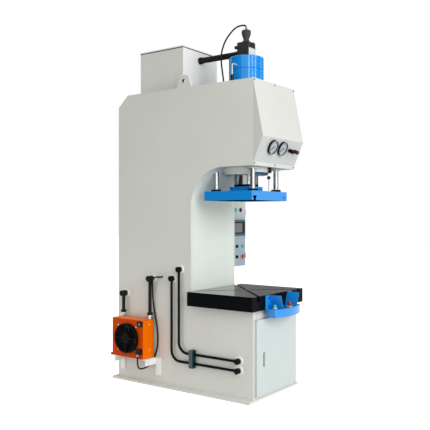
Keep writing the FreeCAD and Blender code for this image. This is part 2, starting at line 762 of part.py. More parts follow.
def make_gauges():
    """Pressure gauge: a rolled bezel in front of the panel, a case and stem behind it."""
    r, deep = S.gauge_radius, S.gauge_depth
    dial = deep - S.dial_sunk
    case = [
        (0, -25), (S.gauge_stem, -25), (S.gauge_stem, 0), (r - 2, 0), (r, 2), (r, deep - 3),
        (r - 3, deep), (r - 6, deep), (r - 7, deep - 2), (r - 7, dial), (0, dial),
    ]
    cases = [turned(f"gauge_{index}", case, on_panel(x, GAUGE_LEVEL), PANEL_TURN)
             for index, x in enumerate(gauge_spots())]
    node(group("gauge_pair", *cases), "gauge_cases")
    for label, x in zip(("needle_left", "needle_right"), gauge_spots()):
        hub = rod(label + "_hub", (0, 0, dial + CLEAR), 5, 4)
        pointer = doc.addObject("Part::Wedge", label + "_pointer")
        for side, length in (("Xmin", -2.2), ("Xmax", 2.2), ("X2min", -2.2), ("X2max", 2.2)):
            setattr(pointer, side, length)
        for side, level in (("Zmin", 1.2), ("Z2min", 1.2), ("Zmax", 2.4), ("Z2max", 2.4)):
            bind(pointer, side, dial + level)
        bind(pointer, "Ymin", -14)
        bind(pointer, "Ymax", r - 14)
        needle = fuse(label + "_fused", hub, pointer)
        rest = Rotation(Vector(0, 0, 1), 130)
        node(place(needle, on_panel(x, GAUGE_LEVEL), PANEL_TURN.multiply(rest)), label)


def make_knobs():
    r, length = S.knob_radius, S.knob_length
    profile = [
        (0, -20), (S.knob_stem, -20), (S.knob_stem, 1), (r - 3, 1), (r - 3, 10), (r, 13),
        (r, length + 11), (r - 3, length + 14), (0, length + 14),
    ]
    for label, x in zip(("knob_left", "knob_right"), knob_spots()):
        node(turned(label, profile, on_panel(x, KNOB_LEVEL), PANEL_TURN), label)


# ---------------------------------------------------------------- ram cylinder

def make_cylinder():
    r = S.cylinder_radius
    neck = S.rod_radius + CLEAR
    seam = S.frame_top + S.seam_rise
    barrel = [
        (neck, S.jaw_level), (r, S.jaw_level), (r, seam - 2), (r - 2, seam), (r, seam + 2),
        (r, CYLINDER_TOP - 5), (r - 5, CYLINDER_TOP), (0, CYLINDER_TOP),
        (0, CYLINDER_TOP - S.cylinder_cap), (S.cylinder_bore, CYLINDER_TOP - S.cylinder_cap),
        (S.cylinder_bore, S.jaw_level + S.flange_plate), (neck, S.jaw_level + S.flange_plate),
    ]
    node(turned("ram_cylinder", barrel, (0, 0, 0)), "cylinder_barrel")
    flange_low = S.jaw_level - S.flange_plate
    node(ring("ram_flange", (0, 0, flange_low), S.flange_radius, neck, S.flange_plate),
         "cylinder_flange")
    node(ring("ram_gland", (0, 0, flange_low - S.gland_plate), S.gland_radius, neck,
              S.gland_plate), "gland_ring")


def make_piston_rod():
    r = S.rod_radius
    foot = BOSS_TOP + S.rod_ring
    rod_profile = [
        (0, BOSS_TOP), (r - 8, BOSS_TOP), (r - 8, foot), (r, foot), (r, ROD_TOP),
        (S.cylinder_bore - CLEAR, ROD_TOP), (S.cylinder_bore - CLEAR,
                                               ROD_TOP + S.piston_height),
        (0, ROD_TOP + S.piston_height),
    ]
    node(turned("ram_rod", rod_profile, (0, 0, 0)), "piston_rod")


def make_slide():
    half_x, half_y = S.slide_width / 2, S.slide_depth / 2
    plate = box("slide_blank", (-half_x, -half_y, S.slide_low), (half_x, half_y, SLIDE_TOP))
    boss = box("slide_boss", (-S.boss_width / 2, -S.boss_width / 2, SLIDE_TOP),
               (S.boss_width / 2, S.boss_width / 2, BOSS_TOP))
    slots = slot_tools("slide_slot", S.slide_low, 1, S.slide_width * 2)
    node(cut("slide_cut", fuse("slide_body", plate, boss), *slots), "slide_plate")


def make_guides():
    rods, feet = [], []
    for index, (x, y) in enumerate(guide_spots()):
        rods.append(rod(f"guide_{index}", (x, y, SLIDE_TOP), S.guide_radius,
                        S.guide_length))
        feet.append(ring(f"guide_foot_{index}", (x, y, SLIDE_TOP), S.guide_foot,
                         S.guide_radius, S.guide_foot_height))
    node(group("guide_set", *rods), "guide_rods")
    clamp = ring("ram_ring", (0, 0, BOSS_TOP), S.rod_radius + 2, S.rod_radius - 8, S.rod_ring)
    node(group("foot_set", clamp, *feet), "rod_feet")


def make_trip():
    """Thin rod with a ball on the slide, under the limit switch on the jaw."""
    at = (S.trip_offset, -S.trip_reach)
    stem = rod("trip_stem", (*at, SLIDE_TOP), S.trip_rod, S.trip_height)
    knob = ball("trip_knob", (*at, SLIDE_TOP + S.trip_height), S.trip_ball)
    node(fuse("trip_fused", stem, knob), "trip_rod")
    r = S.switch_radius
    low = S.jaw_level - S.switch_length
    switch = [
        (0, low), (r, low), (r + 3, low + 3), (r + 3, low + 15), (r, low + 18),
        (r - 2, low + 20), (r - 2, S.jaw_level - 8), (r + 2, S.jaw_level - 8),
        (r + 2, S.jaw_level), (0, S.jaw_level),
    ]
    node(turned("switch_turned", switch, (S.switch_offset, -S.trip_reach, 0)), "limit_switch")


# ---------------------------------------------------------------- prefill valve, hose and tank

def make_valve():
    low = CYLINDER_TOP
    high = low + S.valve_height
    half_x, half_y = S.valve_width / 2, S.valve_depth / 2
    block = box("valve_block", (-half_x, -half_y, low), (half_x, half_y, high))
    port = rod("valve_port", (-S.suction_offset * 2, half_y, high - 29), 15, S.port_length, "Y")
    cap = rod("valve_cap", (12, -half_y - 14, high - 16), 15, 14, "Y")
    node(fuse("valve_fused", block, port, cap), "prefill_valve")
    r, neck = S.plug_radius, S.plug_neck
    top = high + S.plug_height
    tall = S.plug_height
    plug = [
        (0, high), (r * 1.1, high), (r, high + tall * 0.05), (neck, high + tall * 0.24),
        (neck, high + tall * 0.3), (r * 0.95, high + tall * 0.65), (r, high + tall * 0.72),
        (r, top - r * 0.2), (r * 0.85, top), (S.plug_gland, top),
        (S.plug_gland, top + S.plug_gland * 2), (0, top + S.plug_gland * 2),
    ]
    node(turned("valve_plug", plug, (0, 0, 0)), "valve_plug_head")


def make_suction_hose():
    """Black suction hose from the tank's front wall to the back of the prefill valve."""
    start, end = S.valve_depth / 2, S.tank_front
    r = S.suction_radius
    profile = [
        (0, start), (r + 3, start), (r + 3, start + 34), (r, start + 38), (r, end - 26),
        (r + 5, end - 24), (r + 5, end), (0, end),
    ]
    level = CYLINDER_TOP + S.suction_rise
    node(turned("suction", profile, (-S.suction_offset, 0, level), AXIS_TURN["Y"]), "suction_hose")


def make_pilot_pipe():
    """Steel pipe that bends down from the barrel's side to a fitting on the head."""
    start_x = -S.cylinder_radius
    drop = S.pilot_rise - S.pilot_fitting_height
    pipe = bent_pipe("pilot", (start_x, 0, S.frame_top + S.pilot_rise), S.pilot_reach, drop, S.pilot_bend,
                     S.pilot_radius, ("XZ_Plane", "YZ_Plane"), False)
    foot = (start_x - S.pilot_reach, 0, S.frame_top)
    body = rod("pilot_fitting", foot, S.pilot_fitting, S.pilot_fitting_height)
    nut = hexagon("pilot_nut", foot, S.pilot_fitting * 1.25, S.pilot_fitting_height / 3)
    node(fuse("pilot_fused", pipe, body, nut), "pilot_pipe")


def make_tank():
    half = S.tank_width / 2
    top = S.frame_top + S.tank_height
    sheet_t = S.tank_sheet
    shell = box("tank_shell", (-half, S.tank_front, S.frame_top), (half, S.tank_rear, top))
    hollow = box("tank_hollow", (-half + sheet_t, S.tank_front + sheet_t, S.frame_top + sheet_t),
                 (half - sheet_t, S.tank_rear - sheet_t, top))
    node(cut("tank_cut", shell, hollow), "tank")
    edge = S.lid_edge
    node(box("tank_cover", (-half - edge, S.tank_front - edge, top),
             (half + edge, S.tank_rear + edge, top + S.lid_plate)), "tank_lid")


# ---------------------------------------------------------------- side pipes

def make_side_pipes():
    x = WALL_X - S.pipe_standoff
    lengths = (
        ("low", S.pipe_low_rear, S.pipe_low_top, S.pipe_low_level),
        ("high", S.pipe_high_rear, S.pipe_high_top, S.pipe_high_level),
    )
    pipes, heads, clamps = [], [], []
    for name, rear, top, level in lengths:
        pipe = bent_pipe(f"side_pipe_{name}", (x, rear, top), top - level, rear + S.pipe_front,
                         S.pipe_bend, S.pipe_radius, ("YZ_Plane", "XY_Plane"), True)
        bites = [rod(f"pipe_bite_{name}_{index}", (x - 40, y, z), S.head_radius, 80, "X")
                 for index, (y, z) in enumerate(((rear, top), (-S.pipe_front, level)))]
        pipes.append(cut(f"side_pipe_{name}_cut", pipe, *bites))
        half = S.clamp_height / 2
        block = box(f"clamp_block_{name}",
                    (WALL_X - S.clamp_width, S.clamp_centre - S.clamp_length / 2, level - half),
                    (WALL_X, S.clamp_centre + S.clamp_length / 2, level + half))
        hole = rod(f"clamp_hole_{name}", (x, S.clamp_centre - S.clamp_length, level),
                   S.pipe_radius, S.clamp_length * 2, "Y")
        clamps.append(cut(f"clamp_{name}", block, hole))
    chamfer = 4
    r, length = S.head_radius, S.head_length
    head = [(0, 0), (r - chamfer, 0), (r, chamfer), (r, length), (0, length)]
    for index, (y, z) in enumerate(pipe_ends()[:4]):
        start = WALL_X - S.head_seat_height - length
        heads.append(turned(f"pipe_head_{index}", head, (start, y, z), AXIS_TURN["X"]))
    node(group("pipe_pair", *pipes), "side_pipes")
    node(group("head_set", *heads), "pipe_heads")
    node(group("clamp_pair", *clamps), "pipe_clamps")


# ---------------------------------------------------------------- oil cooler

COOLER_BACK = WALL_X - S.cooler_gap
COOLER_FACE = COOLER_BACK - S.cooler_width
FAN_Y = (S.cooler_front + S.cooler_rear) / 2
SHROUD_FACE = COOLER_FACE - S.shroud_depth


def make_cooler_housing():
    """Orange sheet housing, open at the back, with the round fan opening in its face."""
    body = new_body("cooler", (COOLER_FACE, 0, 0))
    front, rear, low, high = S.cooler_front, S.cooler_rear, S.cooler_low, S.cooler_high
    corners = [(front, low), (front, high), (rear, high), (rear, low)]
    pad(body, outline(new_sketch(body, "YZ_Plane"), corners), S.cooler_width)
    round_edges(body, S.cooler_round, [along_x(y, z) for y, z in corners])
    t = S.cooler_sheet
    inner = [(front + t, low + t), (front + t, high - t), (rear - t, high - t),
             (rear - t, low + t)]
    pocket(body, outline(new_sketch(body, "YZ_Plane", t), inner), S.cooler_width - t)
    opening = new_sketch(body, "YZ_Plane")
    circle(opening, (FAN_Y, S.fan_level), S.fan_opening)
    pocket(body, opening, t)
    node(body, "cooler_housing")


def make_cooler_core():
    """Finned oil core across the back of the housing."""
    t = S.cooler_sheet
    front, rear = S.cooler_front + t, S.cooler_rear - t
    low, high = S.cooler_low + t, S.cooler_high - t
    back = COOLER_BACK - S.core_slot
    face = back - S.core_depth
    block = box("core_block", (face, front, low), (back, rear, high))
    slots = []
    count = int(float(high - low) // SIZES["core_pitch"])
    for index in range(count):
        start = low + S.core_pitch * index + S.core_slot
        slots.append(box(f"core_slot_{index}", (face, front + S.core_slot, start),
                         (back - 5, rear - S.core_slot, start + S.core_slot)))
    node(cut("core_finned", block, *slots), "cooler_core")


def make_fan_shroud():
    """Black ring with a wire guard and the fan motor that the guard carries."""
    outer = S.fan_opening + S.shroud_wall
    base = (SHROUD_FACE, FAN_Y, S.fan_level)
    pieces = [ring("shroud_ring", base, outer, S.fan_opening, S.shroud_depth, "X")]
    count = int((SIZES["fan_opening"] - SIZES["motor_radius"]) // SIZES["guard_pitch"])
    for index in range(count):
        r = S.motor_radius + S.guard_pitch * (index + 0.6)
        pieces.append(ring(f"guard_ring_{index}", base, r + S.guard_wire / 2,
                           r - S.guard_wire / 2, S.guard_wire, "X"))
    pieces.append(rod("fan_motor", base, S.motor_radius, S.motor_depth, "X"))
    for index in range(2):
        width = S.guard_wire * 1.5
        low = [S.fan_opening, width] if index else [width, S.fan_opening]
        pieces.append(box(f"guard_bar_{index}",
                          (SHROUD_FACE, FAN_Y - low[0], S.fan_level - low[1]),
                          (SHROUD_FACE + S.guard_wire, FAN_Y + low[0], S.fan_level + low[1])))
    node(fuse("shroud_fused", *pieces), "fan_shroud")


def make_cooler_fan():
    """Seven pitched blades on a hub behind the motor."""
    shaft = 8
    motor_end = SHROUD_FACE + S.motor_depth
    hub_x = motor_end + shaft
    pieces = [rod("fan_hub", (hub_x, FAN_Y, S.fan_level), S.fan_hub, S.fan_depth, "X"),
              rod("fan_shaft", (motor_end + CLEAR, FAN_Y, S.fan_level), 10, shaft, "X")]
    count = 7
    middle = S.fan_depth / 2
    for index in range(count):
        blade = doc.addObject("Part::Box", f"fan_blade_{index}")
        width, thick = 40.0, 3.0
        root = S.fan_hub - 3
        bind(blade, "Length", thick)
        bind(blade, "Width", width)
        bind(blade, "Height", S.fan_tip - root)
        spin = Rotation(Vector(1, 0, 0), 360.0 * index / count)
        pitch = Rotation(Vector(0, 0, 1), 65)
        corner = pitch.multVec(Vector(-thick / 2, -width / 2, 0))
        turn = spin.multiply(pitch)
        low = spin.multVec(corner)
        out = spin.multVec(Vector(0, 0, 1))
        pieces.append(place(blade, (hub_x + middle + low.x + root * out.x,
                                    FAN_Y + low.y + root * out.y,
                                    S.fan_level + low.z + root * out.z), turn))
    node(fuse("fan_fused", *pieces), "cooler_fan")


def make_cooler_brackets():
    """Angle brackets that hang the cooler on the left side plate."""
    brackets = []
    t, flange = S.bracket_plate, S.bracket_flange
    top = S.cooler_low
    front_edge = S.cooler_front - 27
    rear_edge = S.cooler_rear - 25
    for name, start, sign in (("front", front_edge, 1), ("rear", rear_edge + t, -1)):
        def span(near, far):
            """A Y range measured from the web, towards the middle of the cooler."""
            ends = (start + near * sign, start + far * sign)
            return ends if sign > 0 else ends[::-1]
        leg_y = span(-S.bracket_leg, as_size(0))
        web_y = span(as_size(0), t)
        flange_y = span(as_size(0), flange)
        leg = box(f"bracket_leg_{name}", (COOLER_BACK, leg_y[0], S.bracket_foot),
                  (WALL_X, leg_y[1], top))
        web = box(f"bracket_web_{name}", (COOLER_FACE + 7, web_y[0], top - t - flange),
                  (COOLER_BACK, web_y[1], top - t))
        seat = box(f"bracket_seat_{name}", (COOLER_FACE + 7, flange_y[0], top - t),
                   (COOLER_BACK, flange_y[1], top))
        tie = box(f"bracket_tie_{name}", (COOLER_BACK - t, leg_y[0], top - t - flange),
                  (COOLER_BACK, leg_y[1], top))
        brackets.append(fuse(f"bracket_{name}", leg, web, seat, tie))
    node(group("bracket_pair", *brackets), "cooler_brackets")


def make_cooler_hoses():
    x = WALL_X - S.hose_standoff
    low = S.cooler_high + S.fitting_height
    hoses, fittings = [], []
    for name, y, top in (("front", S.hose_front, S.hose_front_top),
                         ("rear", S.hose_rear, S.hose_rear_top)):
        head = rod(f"hose_head_{name}", (WALL_X - S.head_seat_height - S.hose_head_length, y,
                                         top), S.hose_head, S.hose_head_length, "X")
        hose = rod(f"hose_{name}", (x, y, low), S.hose_radius, top - low)
        clamp = rod(f"hose_clamp_{name}", (x, y, low - 22), S.hose_clamp, 22)
        hoses.append(fuse(f"hose_set_{name}", head, hose, clamp))
        nut = hexagon(f"fitting_nut_{name}", (x, y, S.cooler_high), S.fitting_nut,
                      S.fitting_nut_height)
        neck = rod(f"fitting_neck_{name}", (x, y, S.cooler_high + S.fitting_nut_height),
                   S.fitting_nut * 0.8, S.fitting_height - S.fitting_nut_height - 22)
        fittings.append(fuse(f"fitting_{name}", nut, neck))
    node(group("hose_pair", *hoses), "cooler_hoses")
    node(group("fitting_pair", *fittings), "hose_fittings")


def make_fan_boxes():
    """Terminal box with its cable gland, and the thermostat, on the cooler's face."""
    near = S.cooler_front + S.terminal_inset
    low = S.cooler_low + S.terminal_rise
    terminal = box("terminal_box", (COOLER_FACE - S.terminal_depth, near, low),
                   (COOLER_FACE, near + S.terminal_width, low + S.terminal_height))
    gland = rod("terminal_gland", (COOLER_FACE - S.terminal_depth / 2,
                                   near + S.terminal_width * 0.75, low - S.gland_drop),
                S.terminal_gland, S.gland_drop)
    near = S.cooler_front + S.thermostat_inset
    high = S.cooler_high - S.thermostat_drop
    thermostat = box("thermostat_box",
                     (COOLER_FACE - S.thermostat_depth, near, high - S.thermostat_height),
                     (COOLER_FACE, near + S.thermostat_width, high))
    node(group("fan_box_set", fuse("terminal", terminal, gland), thermostat), "fan_boxes")


# ---------------------------------------------------------------- thin cables

# Routes as points chosen by hand: the cooler's cable leaves the side plate, runs down behind the
# cooler and loops up to the terminal box; the valve's cable arches back and down to the head.
COOLER_CABLE = [
    (-338, 653, 957), (-352, 653, 957), (-374, 660, 957), (-389, 679, 957),
    (-392, 704, 955), (-388, 728, 944), (-379, 742, 918), (-369, 749, 880),
    (-360, 755, 835), (-354, 759, 785), (-350, 757, 730), (-347, 750, 670),
    (-344, 739, 610), (-342, 727, 550), (-341, 716, 485), (-341, 711, 410),
    (-341, 715, 340), (-341, 731, 280), (-341, 755, 232), (-345, 780, 188),
    (-366, 803, 155), (-404, 818, 141), (-450, 820, 143), (-484, 813, 165),
    (-499, 808, 198), (-501, 806.5, 230), (-501, 806.5, 265),
]
VALVE_CABLE = [
    (0, 0, 3111), (0, 0, 3124), (-1, 7, 3136), (-3, 20, 3143), (-8, 48, 3143.5),
    (-14, 78, 3139), (-21, 110, 3122), (-29, 147, 3088), (-36, 177, 3051),
    (-42, 199, 3011), (-47, 216, 2967), (-50, 227, 2919), (-50, 230, 2862),
    (-50, 224, 2800), (-50, 214, 2738), (-50, 205, 2684), (-50, 201, 2640),
    (-50, 201, 2600),
]


def cord(label, route, radius):
    """A round cord: straight runs joined by tangent arcs as wide as the runs allow."""
    spots = [Vector(*spot) for spot in route]
    edges, here, radii = [], spots[0], []
    length = 0.0
    for before, corner, after in zip(spots, spots[1:], spots[2:]):
        back, ahead = before - corner, after - corner
        turn = math.pi - back.getAngle(ahead)
        cut_back = 0.45 * min(back.Length, ahead.Length)
        radii.append(cut_back / math.tan(turn / 2))
        back.normalize()
        ahead.normalize()
        leave, enter = corner + back * cut_back, corner + ahead * cut_back
        inward = (back + ahead).normalize()
        middle = corner + inward * (radii[-1] / math.cos(turn / 2) - radii[-1])
        edges += [Part.LineSegment(here, leave).toShape(), Part.Arc(leave, middle, enter).toShape()]
        here = enter
    edges.append(Part.LineSegment(here, spots[-1]).toShape())
    path = Part.Wire(edges)
    length = sum(edge.Length for edge in edges)
    section = Part.Wire([Part.Circle(spots[0], spots[1] - spots[0], radius).toShape()])
    solid = path.makePipeShell([section], True, False)
    expected = math.pi * radius ** 2 * length
    print(f"{label}: length {length:.0f}, least radius {min(radii):.0f}, "
          f"volume {solid.Volume / expected:.4f} of its section times its length")
    item = doc.addObject("Part::Feature", label + "_cord")
    item.Shape = solid
    node(item, label)


def make_cables():
    radius = float(S.cable_radius)
    cord("cooler_cable", COOLER_CABLE, radius)
    cord("valve_cable", VALVE_CABLE, radius)


# ---------------------------------------------------------------- control cabinet

PANEL_LEFT = HALF
PANEL_RIGHT = HALF + S.panel_width
PANEL_BACK = S.panel_front + S.panel_sheet
PANEL_AXIS = (PANEL_RIGHT + S.hinge_radius + 1, PANEL_BACK)


def panel_hinge_levels():
    inset = S.panel_hinge_inset
    return [S.panel_low + inset, S.panel_high - inset - S.hinge_knuckle * 2]


def make_control_box():
    """Sheet cabinet on the right side plate, with the fixed halves of its hinges."""
    t = S.panel_sheet
    rear = PANEL_BACK + GAP + S.panel_depth
    shell = box("control_shell", (PANEL_LEFT, PANEL_BACK + GAP, S.panel_low),
                (PANEL_RIGHT, rear, S.panel_high))
    hollow = box("control_hollow", (PANEL_LEFT + t, PANEL_BACK + GAP, S.panel_low + t),
                 (PANEL_RIGHT - t, rear - t, S.panel_high - t))
    pieces = [cut("control_cut", shell, hollow)]
    for index, level in enumerate(panel_hinge_levels()):
        leaf = box(f"control_leaf_{index}", (PANEL_RIGHT, PANEL_BACK + GAP, level),
                   (PANEL_RIGHT + S.hinge_leaf, PANEL_BACK + S.hinge_leaf_run,
                    level + S.hinge_knuckle))
        bridge = box(f"control_bridge_{index}", (PANEL_RIGHT, PANEL_BACK + GAP, level),
                     (PANEL_AXIS[0], PANEL_BACK + GAP + S.hinge_leaf, level + S.hinge_knuckle))
        pieces += [fixed_knuckle(f"control_knuckle_{index}", PANEL_AXIS, level), leaf, bridge]
    node(fuse("control_hinged", *pieces), "control_box")


def controls():
    """Centres of the sprung buttons, as (name, x, z)."""
    right = S.switch_left + S.switch_spacing
    return [("start", right, S.upper_row), ("stop", right, S.lower_row)]


def make_control_door():
    """Front panel of the cabinet, with collars round its buttons and hinge leaves."""
    plate = box("control_plate", (PANEL_LEFT, S.panel_front, S.panel_low),
                (PANEL_RIGHT, PANEL_BACK, S.panel_high))
    front = S.panel_front - S.collar_height
    collars, holes = [], []
    for name, x, z in controls():
        collars.append(ring(f"collar_{name}", (x, front, z), S.collar_radius,
                            S.button_radius + CLEAR, S.collar_height, "Y"))
        holes.append(rod(f"button_hole_{name}", (x, front, z), S.button_radius + CLEAR,
                         S.collar_height + S.panel_sheet, "Y"))
    for row, z in (("upper", S.upper_row), ("lower", S.lower_row)):
        holes.append(rod(f"selector_hole_{row}", (S.switch_left, front, z), 6 + CLEAR,
                         S.collar_height + S.panel_sheet, "Y"))
    knuckles = []
    for index, level in enumerate(panel_hinge_levels()):
        start = hung_level(level)
        leaf = box(f"panel_leaf_{index}",
                   (PANEL_RIGHT - S.hinge_leaf_run / 2, S.panel_front - S.hinge_leaf, start),
                   (PANEL_AXIS[0], S.panel_front, start + S.hinge_knuckle))
        knuckles += [hung_knuckle(f"panel_knuckle_{index}", PANEL_AXIS, level), leaf]
    panel = cut("control_panel_cut", fuse("control_panel", plate, *collars), *holes)
    node(fuse("control_panel_hinged", panel, *knuckles), "control_door")


def make_screen():
    centre = PANEL_LEFT + S.panel_width / 2
    front = S.panel_front - S.screen_depth
    half_w, half_h = S.screen_width / 2, S.screen_height / 2
    bezel = box("screen_bezel", (centre - half_w, front, S.screen_level - half_h),
                (centre + half_w, S.panel_front, S.screen_level + half_h))
    glass_w, glass_h = S.glass_width / 2, S.glass_height / 2
    window = box("screen_window", (centre - glass_w, front, S.screen_level - glass_h),
                 (centre + glass_w, front + 2, S.screen_level + glass_h))
    node(cut("screen_cut", bezel, window), "control_screen")


def make_panel_controls():
    """Lamps, selector switches and sprung buttons, each turned about its own Y axis."""
    facing = Rotation(Vector(1, 0, 0), 90)
    r = S.lamp_radius
    lamp = [(0, 0), (r + 3, 0), (r + 3, 4), (r, 4), (r, 9), (r - 3, 13), (0, 14)]
    lamps = [turned(f"lamp_{index}", lamp, (S.lamp_left + S.lamp_spacing * index,
                                            S.panel_front, S.lamp_level), facing)
             for index in range(2)]
    node(group("lamp_pair", *lamps), "lamps")
    rim = S.collar_radius
    base = [(0, -10), (6, -10), (6, CLEAR), (rim, CLEAR), (rim, 5), (rim - 3, 7), (0, 7)]
    for label, z in (("selector_upper", S.upper_row), ("selector_lower", S.lower_row)):
        dial = turned(label, base, (S.switch_left, S.panel_front, z), facing)
        grip = box(label + "_grip", (S.switch_left - 3.5, S.panel_front - 19, z - rim + 2),
                   (S.switch_left + 3.5, S.panel_front - 7, z + rim - 2))
        node(fuse(label + "_fused", dial, grip), label)
    b = S.button_radius
    cap = S.button_cap
    push = [(0, -12), (b, -12), (b, S.collar_height + 5), (cap, S.collar_height + 5),
            (cap, S.collar_height + 9), (cap - 2, S.collar_height + 11),
            (0, S.collar_height + 11)]
    m = S.mushroom_radius
    mushroom = [(0, -12), (b, -12), (b, S.collar_height + 8), (m - 3, S.collar_height + 8),
                (m, S.collar_height + 11), (m, S.collar_height + 16),
                (m - 5, S.collar_height + 20), (0, S.collar_height + 21)]
    for (name, x, z), profile in zip(controls(), (push, mushroom)):
        node(turned(f"{name}_push", profile, (x, S.panel_front, z), facing), f"{name}_button")


# ---------------------------------------------------------------- two-hand station

TABLE_FRONT = -S.table_depth / 2


def station_spots():
    """Left palm button, right palm button and emergency stop, as (name, x, y)."""
    palm_y = TABLE_FRONT - S.palm_reach
    return [("left", S.tray_centre - S.palm_offset, palm_y),
            ("right", S.tray_centre + S.palm_offset, palm_y),
            ("stop", S.tray_centre + S.stop_offset, TABLE_FRONT - S.stop_reach)]


def tray_outline(inset):
    left = S.tray_centre - S.tray_width / 2 + inset
    right = S.tray_centre + S.tray_width / 2 - inset
    side = TABLE_FRONT - S.tray_side + inset
    crown = (S.tray_centre, TABLE_FRONT - S.tray_side - S.tray_bow + inset)
    corners = [(left, TABLE_FRONT - inset), (left, side), (right, side),
               (right, TABLE_FRONT - inset)]
    return corners, (1, crown)


def make_station_tray():
    """Bowed tray, fixing tabs on the table's edge and two guards that lean outwards."""
    body = new_body("tray", (0, 0, S.tray_low))
    corners, bow = tray_outline(as_size(0))
    pad(body, outline(new_sketch(body, "XY_Plane"), corners, bow), S.tray_top - S.tray_low)
    doc.recompute()
    corners, bow = tray_outline(S.tray_sheet)
    pocket(body, outline(new_sketch(body, "XY_Plane"), corners, bow),
           S.tray_top - S.tray_low - S.tray_sheet)
    guards, holes, collars = [], [], []
    for name, sign in (("left", -1), ("right", 1)):
        foot = S.guard_centre + S.guard_half * sign
        head = foot + S.guard_lean * sign
        t = S.guard_sheet * sign
        guard = new_body(f"guard_{name}", (0, TABLE_FRONT, S.tray_top))
        leaf = [(foot, 0), (head, S.guard_height), (head + t, S.guard_height), (foot + t, 0)]
        pad(guard, outline(new_sketch(guard, "XZ_Plane"), leaf), S.guard_reach)
        tab = new_body(f"tab_{name}", (0, TABLE_FRONT, S.tray_top))
        edge = S.guard_centre + (S.guard_half + S.guard_lean - 13 + S.tab_width) * sign
        flat = [(foot, -4), (head, S.guard_height), (edge, S.guard_height), (edge, -4)]
        pad(tab, outline(new_sketch(tab, "XZ_Plane"), flat), S.guard_sheet)
        guards += [guard, tab]
        for index, level in enumerate((26, 86)):
            bolt_x = S.guard_centre + (S.guard_half + S.guard_lean + 16) * sign
            guards.append(rod(f"tab_bolt_{name}_{index}",
                              (bolt_x, TABLE_FRONT - S.guard_sheet - 6, S.tray_top + level),
                              8, 7, "Y"))
    for name, x, y in station_spots():
        holes.append(rod(f"tray_hole_{name}", (x, y, S.tray_top - S.tray_sheet - 1),
                         S.button_radius + CLEAR, 60))
        height = S.disc_height if name == "stop" else S.disc_height * 4
        collars.append(ring(f"tray_collar_{name}", (x, y, S.tray_top), S.button_radius + 3,
                            S.button_radius + CLEAR, height))
    node(cut("tray_cut", fuse("tray_fused", body, *guards, *collars), *holes), "station_tray")


def make_station_controls():
    b, m = S.button_radius, S.stop_radius
    collar = S.disc_height * 4
    palm = [(0, -16), (b, -16), (b, collar + 6), (b + 4, collar + 6), (b + 4, collar + 16),
            (b, collar + 20), (0, collar + 22)]
    stop = [(0, -16), (b, -16), (b, 14), (m - 2, 16), (m, 20), (m, 30), (m - 3, 36),
            (m - 9, 40), (0, 42)]
    for (name, x, y), profile in zip(station_spots(), (palm, palm, stop)):
        label = "station_stop" if name == "stop" else f"palm_button_{name}"
        node(turned(label, profile, (x, y, S.tray_top)), label)
    _, x, y = station_spots()[2]
    node(ring("stop_ring", (x, y, S.tray_top), S.disc_radius, S.button_radius + 3,
              S.disc_height), "stop_disc")


# ---------------------------------------------------------------- build, check and write

BUILDERS = (
    make_base, make_side_plates, make_throat_plate, make_head_top, make_rear_panel,
    make_bed_frame, make_table, make_ejector, make_door, make_hinges, make_latch,
    make_head_cover, make_gauges, make_knobs, make_cylinder, make_piston_rod, make_slide,
    make_guides, make_trip, make_valve, make_suction_hose, make_pilot_pipe, make_tank,
    make_side_pipes, make_cooler_housing, make_cooler_core, make_fan_shroud, make_cooler_fan,
    make_cooler_brackets, make_cooler_hoses, make_fan_boxes, make_cables, make_control_box,
    make_control_door, make_screen, make_panel_controls, make_station_tray,
    make_station_controls,
)
for build in BUILDERS:
    build()
doc.recompute()

for item in doc.Objects:
    if "Invalid" in item.State or "Error" in item.State:
        raise ValueError(f"{item.Label} did not compute: {item.State}")
for item in nodes:
    if item.Shape.isNull() or not item.Shape.isValid() or not item.Shape.Solids:
        raise ValueError(f"{item.Label} has no valid solid")
    item.Shape.exportStep(f"parts/{item.Label}.step")
print(len(nodes), "pieces written")
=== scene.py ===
# %% [markdown]
# # Dressing a C-frame hydraulic press
# The press's rigid parts come in as a fixed frame. This lesson gives them their finishes and adds
# the small things that solids leave out: screws, collars, dial faces, plates and cables.
# Blender works here in metres, with +Z up and the operator on the -Y side.

# %% Load the frame and keep its box
import json
import math

import bpy
import numpy as np
from mathutils import Matrix, Vector


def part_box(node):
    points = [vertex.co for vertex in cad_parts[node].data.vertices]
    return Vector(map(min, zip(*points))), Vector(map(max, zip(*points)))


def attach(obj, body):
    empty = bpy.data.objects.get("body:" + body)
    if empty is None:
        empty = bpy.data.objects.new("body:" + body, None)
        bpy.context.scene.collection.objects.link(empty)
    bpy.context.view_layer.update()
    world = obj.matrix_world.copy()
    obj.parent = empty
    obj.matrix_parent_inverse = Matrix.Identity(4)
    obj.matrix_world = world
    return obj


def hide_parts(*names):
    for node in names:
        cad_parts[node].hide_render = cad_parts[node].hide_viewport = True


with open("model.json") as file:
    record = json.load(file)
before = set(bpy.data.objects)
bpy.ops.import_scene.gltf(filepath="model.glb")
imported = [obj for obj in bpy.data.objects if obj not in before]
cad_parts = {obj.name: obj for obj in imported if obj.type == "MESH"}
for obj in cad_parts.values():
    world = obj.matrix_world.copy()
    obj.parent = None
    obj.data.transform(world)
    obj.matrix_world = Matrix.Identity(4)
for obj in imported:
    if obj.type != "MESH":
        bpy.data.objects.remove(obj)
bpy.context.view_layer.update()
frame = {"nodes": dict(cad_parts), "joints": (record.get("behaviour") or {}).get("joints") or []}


def corners(node):
    """Lowest and highest corner of one of the frame's nodes, as arrays."""
    return tuple(np.array(corner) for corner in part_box(node))


def new_object(name, data):
    """An object for a mesh, curve, lamp or camera, linked to the scene at the origin."""
    item = bpy.data.objects.new(name, data)
    bpy.context.scene.collection.objects.link(item)
    return item


